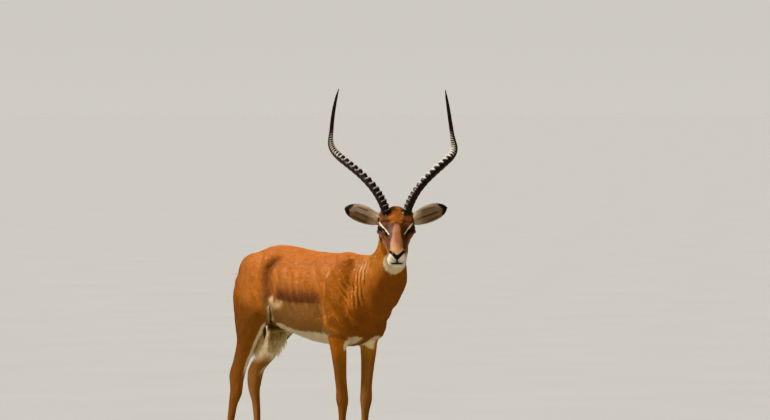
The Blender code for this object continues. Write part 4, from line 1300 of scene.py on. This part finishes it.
def horn(side, material):
    """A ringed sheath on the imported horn's own line; the rings are boldest in front and fade behind."""
    node = f"horn_{side}"
    line = middle_line(node)
    run = np.concatenate(([0], np.cumsum(np.linalg.norm(np.diff(line, axis=0), axis=1))))
    length = run[-1]
    run /= length
    mesh = mesh_from(grid(30, 440), node)
    flat = positions(mesh)
    angle, share = (flat[:, 0] + 1) * math.pi, (flat[:, 1] + 1) / 2
    before, after = np.maximum(share - 0.008, 0), np.minimum(share + 0.008, 1)
    ahead = unit(along(line, run, after) - along(line, run, before))
    front = np.array(LEVEL_HEAD)[:3, 0]
    front = unit(front - ahead * (ahead @ front)[:, None])
    aside = np.cross(ahead, front)

    # The rings are close at the root, wide in the middle and close round the bend, boldest inside in front.
    inner = math.radians(-70 if side == "left" else 70)
    facing = np.cos(angle - inner)
    shares = np.linspace(0, 1, RING_COUNTS)
    rings = np.cumsum(length / (RING_COUNTS - 1) / np.interp(shares, *RING_STEPS))
    saw = np.interp(share - 0.010 * facing, shares, rings) % 1
    crest = np.where(saw < RING_RISE, saw / RING_RISE, (1 - saw) / (1 - RING_RISE)) ** 2.2
    fade = ramp(share, RINGED_SHARE, RINGED_SHARE - 0.06) * ramp(share, 0.02, 0.05)
    strength = (0.22 + 0.78 * ramp(facing, -0.3, 0.8)) * fade
    radius = np.interp(share, *HORN_RADIUS)
    radius += (crest - 0.30) * RING_HEIGHT * strength * np.clip(radius / 0.012, 0.6, 1)
    radius *= 1 + 0.035 * np.cos(2 * angle)
    radius += 0.0002 * np.sin(angle * 13 + share * 30) * fade
    round_it = front * np.cos(angle)[:, None] + aside * np.sin(angle)[:, None]
    points = along(line, run, share) + radius[:, None] * round_it
    points[share > 0.9995] = line[-1]
    move_to(mesh, points)
    # Painted highlight on the ring crests of the inner front side, spread wider round the bend and weaker
    # near the root.
    bend = ramp(share, 0.49, 0.58)
    pale = ramp(crest, 0.36 - 0.26 * bend, 0.8) * ramp(facing, 0.40 - 0.7 * bend, 0.85 - 0.5 * bend) * fade
    store(mesh, "crest", pale * np.interp(share, (0.10, 0.32), (0.45, 1)))
    bm = editable(mesh)
    bmesh.ops.remove_doubles(bm, verts=bm.verts, dist=2e-5)
    bmesh.ops.holes_fill(bm, edges=bm.edges)
    bmesh.ops.recalc_face_normals(bm, faces=bm.faces)
    finish_piece(show(mesh_from(bm, node), f"{node}_sheath"), material, "horn_sheath", node)


def eyeball(side, s, material):
    """The ball behind the lids, with a raised cornea over a level pupil."""
    node = f"eye_{side}"
    centre = middle(node)
    gaze = gaze_of(s)
    level = square_to(HEAD.to_3x3() @ Vector((1, 0, 0)), gaze)
    above = gaze.cross(level)
    bm = bmesh.new()
    bmesh.ops.create_icosphere(bm, subdivisions=5, radius=EYE_RADIUS)
    iris, pupil = (bm.verts.layers.float.new(name) for name in ("iris", "pupil"))
    for vert in bm.verts:
        way = vert.co.normalized()
        away = math.degrees(way.angle(gaze))
        vert[iris] = min(1, away / 44)
        wide, high = math.degrees(way.dot(level)), math.degrees(way.dot(above))
        inside = (wide / 20) ** 4 + (high / 10) ** 2
        vert[pupil] = 1 - min(1, max(0, (inside - 0.9) / 0.3)) if away < 80 else 0
        vert.co = way * (EYE_RADIUS + 0.0008 * math.exp(-((away / 30) ** 2))) + centre
    finish_piece(show(mesh_from(bm, node), f"{node}_ball"), material, "eye_gloss", node)


def claw(node, material):
    """A hoof claw with softened edges, growth rings and a sole flat on the floor."""
    bm = editable(remeshed([node], 0, 0.0012))
    ease(bm, bm.verts, 3)
    bm.normal_update()
    for vert in bm.verts:
        ring = math.sin(2 * math.pi * (vert.co.z + 0.25 * vert.co.x) / HOOF_RING_STEP)
        vert.co += vert.normal * HOOF_RING_HEIGHT * ring * (1 - abs(vert.normal.z))
        if vert.co.z < 0.0009:
            vert.co.z = 0
    finish_piece(show(mesh_from(bm, node), f"{node}_horn"), material, "hoof_horn", node)


# ---------------------------------------------------------------- floor and light
def make_stage():
    """An endless pale floor under a sky that is palest where it meets the floor and darker overhead."""
    floor = show(mesh_from(grid(8, 8, 4000), "floor"), "floor")
    floor.data.materials.append(floor_finish())
    world = bpy.data.worlds.new("studio")
    bpy.context.scene.world = world
    world.use_nodes = True
    tree = world.node_tree
    at = tree.nodes.new("ShaderNodeTexCoord")
    parts = tree.nodes.new("ShaderNodeSeparateXYZ")
    sky = tree.nodes.new("ShaderNodeValToRGB")
    sky.color_ramp.elements[0].color = (0.664, 0.640, 0.590, 1)
    sky.color_ramp.elements[1].position = 0.4
    sky.color_ramp.elements[1].color = (*grey(0.27), 1)
    tree.links.new(at.outputs["Generated"], parts.inputs["Vector"])
    tree.links.new(parts.outputs["Z"], sky.inputs["Fac"])
    tree.links.new(sky.outputs["Color"], tree.nodes["Background"].inputs["Color"])


def make_light(name, towards, strength, softness, colour):
    """An even light that comes from the direction towards, softened as if by a wide screen."""
    data = bpy.data.lights.new(name, "SUN")
    data.energy = strength
    data.angle = math.radians(softness)
    data.color = colour
    show(data, name).rotation_euler = Vector(towards).to_track_quat("Z", "Y").to_euler()


# ---------------------------------------------------------------- the whole ram
make_camera()
make_stage()
# A warm main light from high on the ram's right, and a weak broad fill from in front of it.
make_light("main", (-0.50, -0.52, 0.80), 5.4, 7, (1.0, 0.96, 0.90))
make_light("fill", (0.90, -0.25, 0.35), 0.30, 40, (0.97, 0.98, 1.0))

skin = Skin()
finish_piece(skin.obj, coat_finish("skin_and_undercoat", 620), "red_coat", *BODY, *EARS)
field = Field(skin)
fur = coat_finish("coat_hair", 900)
grow_short_coat(field, fur)
grow_long_hair(field, fur)

sheath = horn_finish()
gloss = eye_finish()
for side, s in SIDES.items():
    horn(side, sheath)
    eyeball(side, s, gloss)
hoof_horn = hoof_finish()
for node in HOOVES:
    claw(node, hoof_horn)
